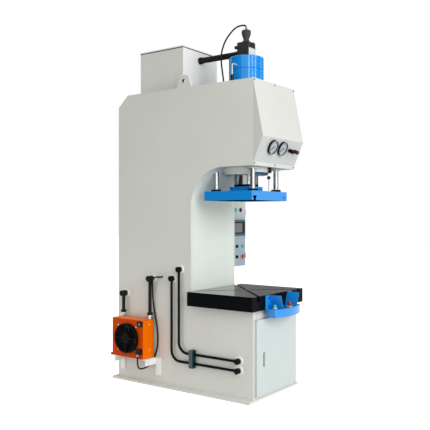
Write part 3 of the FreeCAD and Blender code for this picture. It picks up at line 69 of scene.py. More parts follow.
# %% [markdown]
# ## The camera
# The photograph was taken from a spot level with the middle of the press, to the left of its
# front corner. A camera could be aimed at a target by a constraint, but a level one keeps the
# press's upright edges parallel in the picture, so a place, a turn about Z and a focal length
# are all that it needs.

# %% Put up the camera
CAMERA_PLACE = (-4.7055, -3.0696, 1.5014)
CAMERA_TURN = math.radians(-54.13)
FOCAL_MM = 54.40
SENSOR_MM = 36.0

camera = new_object("camera", bpy.data.cameras.new("camera"))
camera.data.lens = FOCAL_MM
camera.data.sensor_width = SENSOR_MM
camera.location = CAMERA_PLACE
camera.rotation_euler = (math.pi / 2, 0, CAMERA_TURN)
bpy.context.scene.camera = camera
print("camera with a lens of", FOCAL_MM, "mm")

# %% [markdown]
# ## Shader maths as Python expressions
# A finish is a small program: it mixes noise, heights and masks into a colour, a roughness and a
# bump. Nodes made one by one hide that program, so one class wraps a socket and lets plain
# operators add the Math nodes.

# %% Wrap sockets
SHARP = 0.0005  # width of a crisp edge between two colours
FINE = 0.0004   # width of a finer one
SKIN = 0.0008   # how far behind a face a colour's plane lies, so that the whole face takes it


class Wire:
    """A socket in a node tree. Arithmetic on it adds Math nodes."""

    def __init__(self, graph, socket):
        self.graph = graph
        self.socket = socket

    def maths(self, operation, *others):
        """One Math node, fed by this wire and the others."""
        inputs = dict(enumerate((self, *others)))
        return self.graph.node("ShaderNodeMath", {"operation": operation}, inputs)

    def __add__(self, other):
        return self.maths("ADD", other)

    def __sub__(self, other):
        return self.maths("SUBTRACT", other)

    def __mul__(self, other):
        return self.maths("MULTIPLY", other)

    def __truediv__(self, other):
        return self.maths("DIVIDE", other)

    def __rsub__(self, other):
        return self * -1 + other

    __radd__ = __add__
    __rmul__ = __mul__

    def clipped(self):
        """The value held between 0 and 1."""
        return self.maths("MAXIMUM", 0.0).maths("MINIMUM", 1.0)

    def above(self, edge, soft):
        """0 below the edge and 1 above it, with a soft step of the given width."""
        return ((self - edge) / soft + 0.5).clipped()

    def part(self, axis):
        """One coordinate of a vector: 0 for X, 1 for Y and 2 for Z."""
        return self.graph.node("ShaderNodeSeparateXYZ", {}, {0: self}, axis)


def opaque(color):
    """Three parts of a colour made the four that a socket takes. A wire stays as it is."""
    return color if isinstance(color, Wire) else (*color, 1.0)


print("sockets wrapped")

# %% [markdown]
# ## A node tree, and a finish in it
# Every node has a kind, settings, and sockets that hold a value or a link, so a single method
# makes them all, for materials and for the world. A finish adds a Principled shader and the
# patterns that every paint, metal and plastic here is mixed from. All of them read the place on
# the object, because the pieces have no unwrapped surface to paint on.

# %% Wrap node trees and materials
class Graph:
    """A node tree that is being filled."""

    def __init__(self, tree):
        self.tree = tree

    def feed(self, socket, value):
        """Link a wire to a socket, or set the socket's own value."""
        if isinstance(value, Wire):
            self.tree.links.new(value.socket, socket)
        else:
            socket.default_value = value

    def node(self, kind, settings, inputs, output=0):
        """Make a node of a kind, with its settings first and then its values or links, and give
        back one of its outputs. The node that ends a tree has none."""
        item = self.tree.nodes.new(kind)
        for key, value in settings.items():
            setattr(item, key, value)
        for key, value in inputs.items():
            self.feed(item.inputs[key], value)
        return Wire(self, item.outputs[output]) if item.outputs else None

    def ray(self, kind):
        """1 for rays of one kind, such as the camera's, and 0 for all others."""
        return self.node("ShaderNodeLightPath", {}, {}, kind)


class Finish(Graph):
    """A material in the making: a Principled shader and what feeds it."""

    def __init__(self, name, color, roughness, metallic=0.0):
        self.color = color
        self.material = bpy.data.materials.new(name)
        self.material.use_nodes = True
        super().__init__(self.material.node_tree)
        self.shader = self.tree.nodes["Principled BSDF"]
        self.put("Base Color", opaque(color))
        self.put("Roughness", roughness)
        self.put("Metallic", metallic)

    def put(self, name, value):
        """Give one of the shader's sockets a value or a wire."""
        self.feed(self.shader.inputs[name], value)

    def where(self):
        """The place on the object, in metres."""
        return self.node("ShaderNodeTexCoord", {}, {}, "Object")

    def stretched(self, scale):
        """The place with each axis scaled, for grain that runs one way."""
        return self.node("ShaderNodeMapping", {}, {"Vector": self.where(), "Scale": scale})

    def noise(self, scale, detail=2.0, vector=None):
        """Soft noise from 0 to 1, with `scale` cells a metre."""
        inputs = {"Vector": vector or self.where(), "Scale": scale, "Detail": detail}
        return self.node("ShaderNodeTexNoise", {}, inputs, "Fac")

    def blend(self, factor, first, second):
        """Mix two colours by a factor."""
        inputs = {"Factor": factor, 6: opaque(first), 7: opaque(second)}
        return self.node("ShaderNodeMix", {"data_type": "RGBA"}, inputs, 2)

    def shade(self, amount):
        """The finish's own colour, lighter or darker by an amount."""
        return [min(1.0, part * amount) for part in self.color]

    def vary_tone(self, pattern, darkest, lightest):
        """Let a pattern take the colour from its darkest shade to its lightest."""
        self.put("Base Color", self.blend(pattern, self.shade(darkest), self.shade(lightest)))

    def vary_roughness(self, pattern, middle, spread):
        """Let a pattern move the roughness round a middle value."""
        self.put("Roughness", pattern * spread + (middle - spread / 2))

    def own(self):
        """The wire that feeds the colour so far."""
        return Wire(self, self.shader.inputs["Base Color"].links[0].from_socket)

    def recolor(self, axis, edge, below=None, above=None):
        """Paint another colour below or above a plane, and keep the finish's own past it."""
        past = self.where().part(axis).above(edge, SHARP)
        self.put("Base Color", self.blend(past, below or self.own(), above or self.own()))
        return past

    def overlay(self, mask, color):
        """Paint a colour over the finish's own where a mask is 1."""
        self.put("Base Color", self.blend(mask, self.own(), color))

    def bump(self, height, strength, distance):
        """Let a height from 0 to 1 tilt the light, as relief of the given depth would."""
        inputs = {"Height": height, "Strength": strength, "Distance": distance}
        self.put("Normal", self.node("ShaderNodeBump", {}, inputs, "Normal"))


print("materials wrapped")

# %% [markdown]
# ## Sprayed paint
# Machine paint is a thick, slightly pebbled coat: the spray leaves a fine "orange peel" that
# breaks up reflections, and large panels vary a little in tone. The peel is too fine to model, so
# it is noise in a Bump node, at a few millimetres a cell. A coat layer gives the sheen.

# %% Paint finishes
CLOUDS, MATT_SPOTS, PEEL_CELLS = 2.3, 40.0, 420.0  # cells a metre
MATT_SPREAD = 0.12
PEEL_DEPTH = 0.0006


def sprayed(name, color, roughness=0.38, tone=0.05, peel=0.12, coat=0.25, gloss=0.5):
    """Paint with orange peel, cloudy tone and a clear coat's sheen."""
    paint = Finish(name, color, roughness)
    paint.put("Specular IOR Level", gloss)
    paint.vary_tone(paint.noise(CLOUDS, 3.0), 1 - tone, 1 + tone)
    paint.vary_roughness(paint.noise(MATT_SPOTS), roughness, MATT_SPREAD)
    paint.put("Coat Weight", coat)
    paint.bump(paint.noise(PEEL_CELLS, 1.0), peel, PEEL_DEPTH)
    return paint


def pale_paint(name, color):
    """The frame's white paint, in one of its shades."""
    return sprayed(name, color, coat=0.12)


OFF_WHITE = (0.71, 0.714, 0.655)
BRIGHT_WHITE = (0.92, 0.93, 0.90)
frame_paint = pale_paint("frame_paint", OFF_WHITE)
door_paint = pale_paint("door_paint", (0.535, 0.605, 0.59))
bed_paint = pale_paint("bed_paint", (0.59, 0.595, 0.55))
bright_paint = sprayed("bright_paint", BRIGHT_WHITE, coat=0.1)
black_paint = sprayed("black_paint", (0.004, 0.004, 0.0045), roughness=0.5, coat=0.0, gloss=0.08)
valve_paint = sprayed("valve_paint", (0.030, 0.030, 0.029), roughness=0.5, coat=0.0, gloss=0.2)
boss_paint = sprayed("boss_paint", (0.95, 0.30, 0.07), roughness=0.34, coat=0.1)
bolt_blue = sprayed("bolt_blue", (0.003, 0.05, 0.16), roughness=0.4, coat=0.1, gloss=0.2)
print("plain paints ready")

# %% [markdown]
# ### One piece, two colours: the head cover
# The cover is a folded sheet. Its front, its lip and its cheeks are a shade under the side plates.
# The panel below the fold turns away from the light, and its darker, cooler white is painted
# shade. Each colour could have faces of its own, but a plane through the object's own coordinates
# splits the colour just as sharply and leaves the mesh alone.

# %% The head cover's whites
COVER_WHITE = (0.61, 0.615, 0.58)
# painted shade: the panel below the fold is darker, because it turns away from the light
PANEL_SHADE_WHITE = (0.50, 0.53, 0.52)
CHEEK_WHITE = (0.62, 0.625, 0.57)
KNUCKLE_LEVEL, LIP_LEVEL = 2.130, 1.930
CHEEK_SKIN = 0.0015

cover_low, cover_high = corners("head_cover")
cover_paint = pale_paint("cover_paint", COVER_WHITE)
# painted shade on the panel between the lip and the fold
cover_paint.recolor(2, KNUCKLE_LEVEL, below=PANEL_SHADE_WHITE)
cover_paint.recolor(2, LIP_LEVEL, below=COVER_WHITE)
cover_paint.recolor(0, cover_low[0] + CHEEK_SKIN, below=CHEEK_WHITE)
print("cover split at", KNUCKLE_LEVEL, "m and", LIP_LEVEL, "m")

# %% [markdown]
# ### The blue cylinder and slide
# Both have the glossiest paint of the press. The cylinder shows a thin dark seam line round it,
# which is a band round one height. The slide's machined underside has no clear coat, and its
# darker blue is painted shade. The insides of its two crossing T-slots have no coat either, and
# their near black is painted shade. The slots run along the diagonals, so the distance to the
# nearer one is | |x| - |y| | / sqrt 2, and it is compared with a half width that grows from neck
# to head. The end at the right front stays plain blue.

# %% Blue finishes
BLUE = (0.008, 0.25, 0.70)
BLUE_COAT = {"roughness": 0.36, "tone": 0.04, "coat": 1.0, "gloss": 0.0}
SEAM_LEVEL, SEAM_HALF = 2.743, 0.002
SEAM_BLUE = (0.002, 0.10, 0.36)

blue_paint = sprayed("blue_paint", BLUE, **BLUE_COAT)
off_seam = (blue_paint.where().part(2) - SEAM_LEVEL).maths("ABSOLUTE")
blue_paint.overlay(1 - off_seam.above(SEAM_HALF, SHARP), SEAM_BLUE)

SLIDE_FACE = 1.623
NECK_HALF, HEAD_HALF = 0.011, 0.0185
SHOULDER, SLOT_DEPTH = 0.022, 0.038
WALL_SKIN = 0.0003
RIGHT_END, FRONT_END, END_SOFT = 0.15, -0.17, 0.002
UNDERSIDE_SHADE_BLUE = (0.002, 0.025, 0.07)
SLOT_SHADE_BLUE = (0.001, 0.006, 0.016)

slide_paint = sprayed("slide_paint", BLUE, **BLUE_COAT)
# painted shade: the slide's underside, below its face, is a darker blue
above_face = slide_paint.recolor(2, SLIDE_FACE + SKIN, below=UNDERSIDE_SHADE_BLUE)
slide_place = slide_paint.where()
rise = slide_place.part(2) - SLIDE_FACE
off_line = slide_place.part(0).maths("ABSOLUTE") - slide_place.part(1).maths("ABSOLUTE")
slot_half = rise.above(SHOULDER, FINE) * (HEAD_HALF - NECK_HALF) + (NECK_HALF + WALL_SKIN)
past_wall = off_line.maths("ABSOLUTE") - slot_half * math.sqrt(2)
in_slot = (1 - past_wall.above(0.0, WALL_SKIN)) * (1 - rise.above(SLOT_DEPTH + FINE, FINE))
past_right = slide_place.part(0).above(RIGHT_END, END_SOFT)
past_front = 1 - slide_place.part(1).above(FRONT_END, END_SOFT)
in_slot = in_slot * (1 - past_right * past_front)
# painted shade: the insides of the T-slots are near black
slide_paint.overlay(in_slot, SLOT_SHADE_BLUE)
slide_paint.put("Coat Weight", above_face * (1 - in_slot))
print("seam at", SEAM_LEVEL, "m, slide's face at", SLIDE_FACE, "m")

# %% [markdown]
# ### Frame, tank, gland ring and cabinet
# On the left side plate, the round pipe seats are brighter than the plate and its cut front edge
# is a shade darker. The lifting eye's bore is painted dark, as painted shade: a distance from the
# bore's axis masks that. The tank's front is painted brighter than its sides, as painted light,
# and the gland ring's front alone is painted a dark blue, as painted shade. The throat plate's
# white is lighter than the frame's, as painted light, and darker where it bends to the underside
# of the jaw, as painted shade. The cabinet is painted lighter towards its top, as painted light.
# The jaw's shade and the cabinet's light change over centimetres, so their steps are wide.

# %% Second colours on the white and grey sheets
WALL_FACE, SEAT_SKIN = -0.332, 0.001
EDGE_WHITE = (0.68, 0.685, 0.64)
wall_paint = pale_paint("wall_paint", OFF_WHITE)
wall_paint.recolor(0, WALL_FACE - SEAT_SKIN, below=BRIGHT_WHITE)
wall_paint.recolor(1, corners("side_plate_left")[0][1] + SKIN, below=EDGE_WHITE)

EYE_Y, EYE_Z, EYE_RADIUS, BORE_SKIN = 0.426, 2.656, 0.017, 0.0005
# painted shade: the inside of the lifting eye's bore is dark grey
BORE_SHADE_GREY = (0.06, 0.06, 0.055)
wall_place = wall_paint.where()
eye_across = wall_place.part(1) - EYE_Y
eye_up = wall_place.part(2) - EYE_Z
eye_reach = (eye_across * eye_across + eye_up * eye_up).maths("SQRT")
wall_paint.overlay(1 - eye_reach.above(EYE_RADIUS + BORE_SKIN, FINE), BORE_SHADE_GREY)

tank_paint = pale_paint("tank_paint", OFF_WHITE)
# painted light: the tank's front is a brighter white than its sides
tank_paint.recolor(1, corners("tank")[0][1] + SKIN, below=(0.77, 0.785, 0.765))

GLAND_FRONT = -0.14
gland_paint = sprayed("gland_paint", OFF_WHITE, roughness=0.5, coat=0.0, gloss=0.2)
# painted shade: only the gland ring's front is a dark blue
gland_paint.recolor(1, GLAND_FRONT, below=(0.002, 0.085, 0.20))

JAW_LEVEL, JAW_DROP, JAW_SOFT = 1.900, 0.015, 0.028
# painted light: the throat plate's cool tint is its own, but its lighter white makes up for the
# jaw's shade
throat_paint = pale_paint("throat_paint", (0.71, 0.78, 0.715))
# painted shade: darker towards the underside of the jaw
jaw_shade_mask = throat_paint.where().part(2).above(JAW_LEVEL - JAW_DROP, JAW_SOFT)
throat_paint.overlay(jaw_shade_mask, (0.42, 0.45, 0.37))

PALE_LEVEL, PALE_SOFT = 1.50, 0.12
panel_paint = sprayed("panel_paint", (0.31, 0.40, 0.45), roughness=0.45, peel=0.2, coat=0.1)
# painted light: the cabinet is lighter towards its top
cabinet_top_light = panel_paint.where().part(2).above(PALE_LEVEL, PALE_SOFT)
panel_paint.overlay(cabinet_top_light, (0.55, 0.63, 0.585))
print("five pieces have a second colour")

# %% [markdown]
# ### The orange cooler
# Its outer side is a deep orange, as painted shade, its top a lighter one, as painted light, and
# the inside of the box is nearly black, as painted shade. A place counts as inside when it lies
# deeper than half the sheet's thickness behind each of the five outer walls, so the mask is a
# product of steps, one for each wall.

# %% Cooler finish
ORANGE = (1.0, 0.175, 0.0)
SHADED_SIDE_ORANGE = (0.62, 0.062, 0.001)
LIT_TOP_ORANGE = (0.90, 0.26, 0.09)
INNER_SHADE_BLACK = (0.012, 0.006, 0.005)
SHEET = 0.003

housing_low, housing_high = corners("cooler_housing")
orange_paint = sprayed("orange_paint", ORANGE, roughness=0.34, tone=0.04, coat=0.1, gloss=0.0)
# painted shade: the outer side is a deeper orange
orange_paint.recolor(0, housing_low[0] + SKIN, below=SHADED_SIDE_ORANGE)
# painted light: the top is a lighter orange
orange_paint.recolor(2, housing_high[2] - SKIN, above=LIT_TOP_ORANGE)
cooler_place = orange_paint.where()
inside = cooler_place.part(0).above(housing_low[0] + SHEET / 2, SHARP)
for axis in (1, 2):
    inside = inside * cooler_place.part(axis).above(housing_low[axis] + SHEET / 2, SHARP)
    inside = inside * (1 - cooler_place.part(axis).above(housing_high[axis] - SHEET / 2, SHARP))
# painted shade: the inside of the box is nearly black
orange_paint.overlay(inside, INNER_SHADE_BLACK)
print("cooler's box is", np.round(housing_high - housing_low, 3), "m")

# %% [markdown]
# ## Metals
# Ground and chromed rods carry faint rings round their length, a machined table shows the
# cutter's lines, and pipe steel is a little cloudy. Lines could be waves, but real tool marks are
# uneven, so each is one noise stretched along the right axis: a scale that is high across the
# lines and low along them. The trip rod carries a black ball on top, split off by its height.

# %% Metal finishes
DARK_LINE, PALE_LINE, LINE_BUMP = 0.86, 1.08, 0.25


def worked_metal(name, color, roughness, grain, streak, metallic=1.0, depth=0.00005):
    """Metal whose tool marks are noise stretched by `grain`; `streak` is how much they show."""
    metal = Finish(name, color, roughness, metallic)
    lines = metal.noise(1.0, 3.0, metal.stretched(grain))
    metal.vary_roughness(lines, roughness, streak)
    metal.vary_tone(lines, DARK_LINE, PALE_LINE)
    metal.bump(lines, LINE_BUMP, depth)
    return metal


RINGS = (8, 8, 60)
rod_chrome = worked_metal("rod_chrome", (0.44, 0.455, 0.46), 0.18, RINGS, 0.05, depth=0.00001)
trip_finish = worked_metal("trip_finish", (0.56, 0.57, 0.58), 0.20, RINGS, 0.05)
BALL_FOOT = 1.800
BALL_BLACK = (0.006, 0.006, 0.006)
trip_finish.put("Metallic", 1 - trip_finish.recolor(2, BALL_FOOT, above=BALL_BLACK))
latch_steel = worked_metal("latch_steel", (0.27, 0.29, 0.29), 0.34, (60, 60, 400), 0.12)
screw_steel = worked_metal("screw_steel", (0.10, 0.10, 0.10), 0.40, (90, 90, 90), 0.10)
pipe_steel = worked_metal("pipe_steel", (0.62, 0.63, 0.63), 0.30, (80, 80, 80), 0.15)
core_alloy = worked_metal("core_alloy", (0.30, 0.30, 0.31), 0.45, (20, 20, 600), 0.20)
plate_alloy = worked_metal("plate_alloy", (0.66, 0.69, 0.67), 0.40, (900, 20, 20), 0.15,
                           metallic=0.0)
print("metals ready")

# %% [markdown]
# ### The machined table
# The table is blackened iron. Its sides swallow the light, but its oiled, ground top mirrors the
# column at a low angle. One shiny black would brighten the sides too, so a coat that starts just
# under the top gives the mirror, and long noise along Y is the cutter's track.

# %% Table finish
TABLE_TOP = 0.854
OIL_ROUGHNESS = 0.16
table_iron = worked_metal("table_iron", (0.0025, 0.003, 0.004), 0.34, (500, 12, 40), 0.10,
                          metallic=0.0)
table_iron.put("Specular IOR Level", 0.04)
table_iron.put("Coat Weight", table_iron.where().part(2).above(TABLE_TOP - SKIN, FINE))
table_iron.put("Coat Roughness", OIL_ROUGHNESS)
print("table's top at", TABLE_TOP, "m")

# %% [markdown]
# ## Rubber and plastics
# Hoses are matt black with a fine cloth-like roughness, moulded boxes have a spark-eroded grain,
# and buttons are glossy. They differ only in colour, roughness, grain and coat, so one recipe
# makes them all. Bezels and collars use it too, because at their size a satin grey looks like
# plated steel. The pipe clamps have a dark teal front.

# %% Rubber and plastic finishes
SPOTS, DARK_SPOT, PALE_SPOT = 18.0, 0.9, 1.1
GRAIN_SPREAD, GRAIN_BUMP = 0.14, 0.2


def moulded(name, color, roughness, grain=900.0, depth=0.0002, coat=0.0, gloss=0.5):
    """Plastic or rubber with a fine even grain."""
    plastic = Finish(name, color, roughness)
    plastic.put("Specular IOR Level", gloss)
    cells = plastic.noise(grain, 2.0)
    plastic.vary_roughness(cells, roughness, GRAIN_SPREAD)
    plastic.vary_tone(plastic.noise(SPOTS), DARK_SPOT, PALE_SPOT)
    plastic.put("Coat Weight", coat)
    plastic.bump(cells, GRAIN_BUMP, depth)
    return plastic


hose_rubber = moulded("hose_rubber", (0.012, 0.0115, 0.010), 0.55, gloss=0.12)
black_plastic = moulded("black_plastic", (0.007, 0.007, 0.008), 0.48, gloss=0.15)
plug_plastic = moulded("plug_plastic", (0.050, 0.050, 0.048), 0.50, gloss=0.15)
clamp_plastic = moulded("clamp_plastic", (0.10, 0.12, 0.115), 0.55, gloss=0.1)
CLAMP_SKIN = 0.0015
clamp_plastic.recolor(1, corners("pipe_clamps")[0][1] + CLAMP_SKIN, below=(0.004, 0.04, 0.045))
green_plastic = moulded("green_plastic", (0.02, 0.46, 0.30), 0.25, coat=0.5)
red_plastic = moulded("red_plastic", (0.62, 0.012, 0.018), 0.25, coat=0.5)
stop_plastic = moulded("stop_plastic", (0.36, 0.010, 0.016), 0.30, coat=0.3)
yellow_plastic = moulded("yellow_plastic", (0.66, 0.54, 0.12), 0.45)
screen_plastic = moulded("screen_plastic", (0.065, 0.11, 0.145), 0.40)
screen_black = moulded("screen_black", (0.006, 0.008, 0.009), 0.35, gloss=0.2)
screen_glass = moulded("screen_glass", (0.10, 0.115, 0.11), 0.18, coat=0.4)
boot_plastic = moulded("boot_plastic", (0.45, 0.46, 0.45), 0.45)
bezel_metal = moulded("bezel_metal", (0.16, 0.18, 0.19), 0.30, coat=0.5)
collar_metal = moulded("collar_metal", (0.55, 0.56, 0.56), 0.30, coat=0.3)
dial_grey = moulded("dial_grey", (0.20, 0.25, 0.30), 0.35, coat=0.3)
print("plastics ready")

# %% [markdown]
# ### Lamps, knob and pilot pipe
# The two lamps are one node, green on the left and dark red on the right. The pilot pipe is
# bright above its black fitting, and the right knob has a dark red cap on a black grip. Each
# changes colour once along one axis, so one helper serves all three.

# %% Finishes in two glossy colours
LENS_EDGE = 0.0002
LENS_ROUGHNESS, LENS_GLOSS = 0.25, 0.3


def two_tone(name, first, second, axis, edge, shine=0.5):
    """A glossy finish that changes colour at a place along an axis, and the mask that does it."""
    lens = Finish(name, first, LENS_ROUGHNESS)
    side = lens.where().part(axis).above(edge, LENS_EDGE)
    lens.put("Base Color", lens.blend(side, first, second))
    lens.put("Coat Weight", shine)
    lens.put("Specular IOR Level", LENS_GLOSS)
    return lens, side


lamp_low, lamp_high = corners("lamps")
lamp_lenses, _ = two_tone("lamp_lenses", (0.06, 0.62, 0.42), (0.11, 0.004, 0.022), 0,
                          (lamp_low[0] + lamp_high[0]) / 2)
FITTING_TOP, PIPE_METALLIC = 2.676, 0.4
pilot_finish, on_pipe = two_tone("pilot_finish", (0.004, 0.004, 0.004), (0.62, 0.63, 0.62), 2,
                                 FITTING_TOP, shine=0.0)
pilot_finish.put("Metallic", on_pipe * PIPE_METALLIC)
CAP_SHARE = 0.28
knob_low, knob_high = corners("knob_right")
knob_finish, _ = two_tone("knob_finish", (0.09, 0.003, 0.008), (0.004, 0.004, 0.004), 1,
                          knob_low[1] + (knob_high[1] - knob_low[1]) * CAP_SHARE, shine=0.1)
print("two-colour finishes ready")

# %% [markdown]
# ## Hand the finishes out
# The frame's nodes keep their shapes, so each only needs the right material in its slots. A table
# of finishes and node names is easier to read and to mend than a call for each node.

# %% Give each node its finish
FINISHES = {
    bed_paint: "bed_frame",
    frame_paint: "base_plate side_plate_right head_top_plate rear_panel "
                 "cylinder_flange tank_lid door_hinges",
    wall_paint: "side_plate_left",
    door_paint: "door",
    throat_paint: "throat_plate",
    tank_paint: "tank",
    cover_paint: "head_cover",
    bright_paint: "cooler_brackets",
    blue_paint: "cylinder_barrel station_tray",
    slide_paint: "slide_plate",
    gland_paint: "gland_ring",
    orange_paint: "cooler_housing",
    valve_paint: "prefill_valve",
    black_paint: "rod_feet fan_shroud side_pipes pipe_heads knob_left "
                 "needle_left needle_right gauge_cases",
    knob_finish: "knob_right",
    panel_paint: "control_box control_door",
    rod_chrome: "piston_rod guide_rods",
    trip_finish: "trip_rod",
    latch_steel: "latch_lever",
    table_iron: "table ejector_rod",
    pipe_steel: "hose_fittings ejector_barrel",
    pilot_finish: "pilot_pipe",
    lamp_lenses: "lamps",
    core_alloy: "cooler_core",
    hose_rubber: "suction_hose cooler_hoses",
    plug_plastic: "valve_plug_head",
    black_plastic: "limit_switch selector_upper selector_lower fan_boxes "
                   "cooler_fan",
    clamp_plastic: "pipe_clamps",
    green_plastic: "start_button palm_button_left palm_button_right",
    red_plastic: "stop_button",
    stop_plastic: "station_stop",
    yellow_plastic: "stop_disc",
    screen_plastic: "control_screen",
}


def dress(item, finish):
    """Fill every material slot of an object with one finish."""
    if not item.material_slots:
        item.data.materials.append(finish.material)
    for place in item.material_slots:
        place.material = finish.material


for finish, names in FINISHES.items():
    for name in names.split():
        dress(frame["nodes"][name], finish)
print(sum(len(names.split()) for names in FINISHES.values()), "nodes dressed")

# %% [markdown]
# ## Cables
# One thin cable leaves the side plate, hangs down beside the cooler and turns up into the fan's
# box. The other leaves the plug on the valve and drops behind the cylinder into the head. Both
# are held at both ends, so neither moves. A tube of straight runs and arcs would look like bent
# wire, so each is one smooth NURBS curve whose control points are the corners of its route, with
# a round bevel for its thickness.

# %% Run the two cables
COOLER_CABLE = [
    (-338, 653, 957), (-352, 653, 957), (-374, 660, 957), (-389, 679, 957),
    (-392, 704, 955), (-388, 728, 944), (-379, 742, 918), (-369, 749, 880),
    (-360, 755, 835), (-354, 759, 785), (-350, 757, 730), (-347, 750, 670),
    (-344, 739, 610), (-342, 727, 550), (-341, 716, 485), (-341, 711, 410),
    (-341, 715, 340), (-341, 731, 280), (-341, 755, 232), (-345, 780, 188),
    (-366, 803, 155), (-404, 818, 141), (-450, 820, 143), (-484, 813, 165),
    (-499, 808, 198), (-501, 806.5, 230), (-501, 806.5, 265),
]
VALVE_CABLE = [
    (0, 0, 3111), (0, 0, 3124), (-1, 7, 3136), (-3, 20, 3143), (-8, 48, 3143.5),
    (-14, 78, 3139), (-21, 110, 3122), (-29, 147, 3088), (-36, 177, 3051),
    (-42, 199, 3011), (-47, 216, 2967), (-50, 227, 2919), (-50, 230, 2862),
    (-50, 224, 2800), (-50, 214, 2738), (-50, 205, 2684), (-50, 201, 2640),
    (-50, 201, 2600),
]
MM = 0.001
CABLE_RADIUS = 0.007


def cable(name, node, route):
    """A round cable along a route in millimetres that stands for one of the frame's nodes."""
    curve = bpy.data.curves.new(name, "CURVE")
    curve.dimensions = "3D"
    curve.bevel_depth = CABLE_RADIUS
    curve.bevel_resolution = 4
    curve.use_fill_caps = True
    spline = curve.splines.new("NURBS")
    spline.points.add(len(route) - 1)
    for point, spot in zip(spline.points, route):
        point.co = (*(part * MM for part in spot), 1.0)
    spline.order_u = 3
    spline.use_endpoint_u = True
    spline.resolution_u = 8
    item = new_object(name, curve)
    dress(item, hose_rubber)
    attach(item, "frame")
    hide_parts(node)


cable("cooler_lead", "cooler_cable", COOLER_CABLE)
cable("valve_lead", "valve_cable", VALVE_CABLE)
print("cables with", len(COOLER_CABLE), "and", len(VALVE_CABLE), "points")

# %% [markdown]
# ## Surfaces from two parameters
# Most small fittings are turned. A ready-made cylinder has no chamfer or dome, so one helper
# sweeps a profile of radii and heights round an axis: x = r cos a, y = r sin a, z = h, worked out
# for the whole grid at once. The points are then turned and moved to their place, so the finished
# object stays at the origin.

# %% Helpers for new pieces
def add_piece(name, points, faces, finish, body, smooth=True):
    """Make a mesh object from arrays and let it ride on a body."""
    mesh = bpy.data.meshes.new(name)
    mesh.from_pydata(points.tolist(), [], faces)
    mesh.validate()
    if smooth:
        mesh.shade_smooth()
    else:
        mesh.shade_flat()
    item = new_object(name, mesh)
    dress(item, finish)
    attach(item, body)


def grid_faces(rows, columns, looped=False):
    """Quads between rings of points. The last ring meets the first, or both ends get a cap."""
    spans = rows if looped else rows - 1
    row, column = np.meshgrid(np.arange(spans), np.arange(columns), indexing="ij")
    after = (column + 1) % columns
    above = (row + 1) % rows
    quads = np.stack([row * columns + column, row * columns + after,
                      above * columns + after, above * columns + column], axis=-1)
    faces = quads.reshape(-1, 4).tolist()
    if not looped:
        ring = list(range(columns))
        faces += [ring[::-1], [corner + (rows - 1) * columns for corner in ring]]
    return faces


def turning(axis):
    """The turn that carries +Z onto an axis, as a matrix."""
    return np.array(Vector((0, 0, 1)).rotation_difference(Vector(axis)).to_matrix())


def turned(profile, sides):
    """Points of a profile of (radius, height) swept round Z, as one array of rings."""
    angle = np.linspace(0, 2 * np.pi, sides, endpoint=False)
    radius, height = np.array(profile, dtype=float).T
    x = radius[:, None] * np.cos(angle)
    y = radius[:, None] * np.sin(angle)
    z = np.broadcast_to(height[:, None], x.shape)
    return np.stack([x, y, z], axis=-1).reshape(-1, 3)


def turned_set(name, profile, places, axis, finish, body, sides=24, smooth=True,
               hollow=False):
    """The same turned piece at several places, joined into one object. A hollow piece's profile
    is a closed loop that keeps clear of the axis."""
    shape = turned(profile, sides) @ turning(axis).T
    faces = grid_faces(len(profile), sides, hollow)
    points = np.concatenate([shape + np.array(place) for place in places])
    count = len(shape)
    every = [[corner + count * index for corner in face]
             for index in range(len(places)) for face in faces]
    add_piece(name, points, every, finish, body, smooth)


print("helpers for turned pieces ready")

# %% [markdown]
# ## Screw and bolt heads
# A press is held together by fasteners that the solids leave out. Only their heads show, so a
# head is a short profile that starts half a millimetre under the surface it clamps: a dome for
# screws, and a chamfered prism for bolts, which is the same sweep with six flat sides.

# %% Profiles of heads
HEAD_SINK = 0.0005
DOME_RINGS = 5


def dome_head(radius, height):
    """Profile of a domed head: a quarter ellipse, r = R cos t and h = H sin t."""
    t = np.linspace(0, np.pi / 2, DOME_RINGS)
    arc = np.stack([radius * np.cos(t), height * np.sin(t)], axis=1)
    arc[-1, 0] = radius * 0.1
    return np.vstack([[radius, -HEAD_SINK], arc])


def hex_head(radius, height):
    """Profile of a hexagon head: straight for four fifths of its height, then chamfered."""
    return [(radius, -HEAD_SINK), (radius, height * 0.8), (radius * 0.86, height)]


def bolts(name, radius, height, places, axis, finish, body):
    """Hexagon heads at several places."""
    turned_set(name, hex_head(radius, height), places, axis, finish, body, sides=6,
               smooth=False)


def ring_places(centre, radius, count, start=0.0):
    """Places round a circle in a level plane: centre + radius (cos a, sin a, 0)."""
    angle = start + np.arange(count) * 2 * np.pi / count
    x, y, z = centre
    return np.stack([x + radius * np.cos(angle), y + radius * np.sin(angle),
                     np.full(count, z)], axis=1)


print("two kinds of head ready")

# %% [markdown]
# ### Fasteners of the head and the slide
# Six domed screws hold the head cover, twelve flat bolts the gland ring under the jaw, and four
# bolts each rod's foot on the slide. Places worked out from the boxes of the nodes that they
# clamp follow if a node changes. The feet's bolts ride on the ram, as the feet do.

# %% Cover screws, gland bolts and foot bolts
COVER_FACE = -0.286
SCREW_INSET, LIP_RISE = 0.014, 0.003
screw_levels = (cover_high[2] - SCREW_INSET, cover_low[2] + SCREW_INSET + LIP_RISE)
screw_columns = (cover_low[0] + SCREW_INSET, 0.0, cover_high[0] - SCREW_INSET)
screw_places = [(x, COVER_FACE, z) for z in screw_levels for x in screw_columns]
turned_set("cover_screws", dome_head(0.008, 0.004), screw_places, (0, -1, 0), screw_steel,
           "frame")

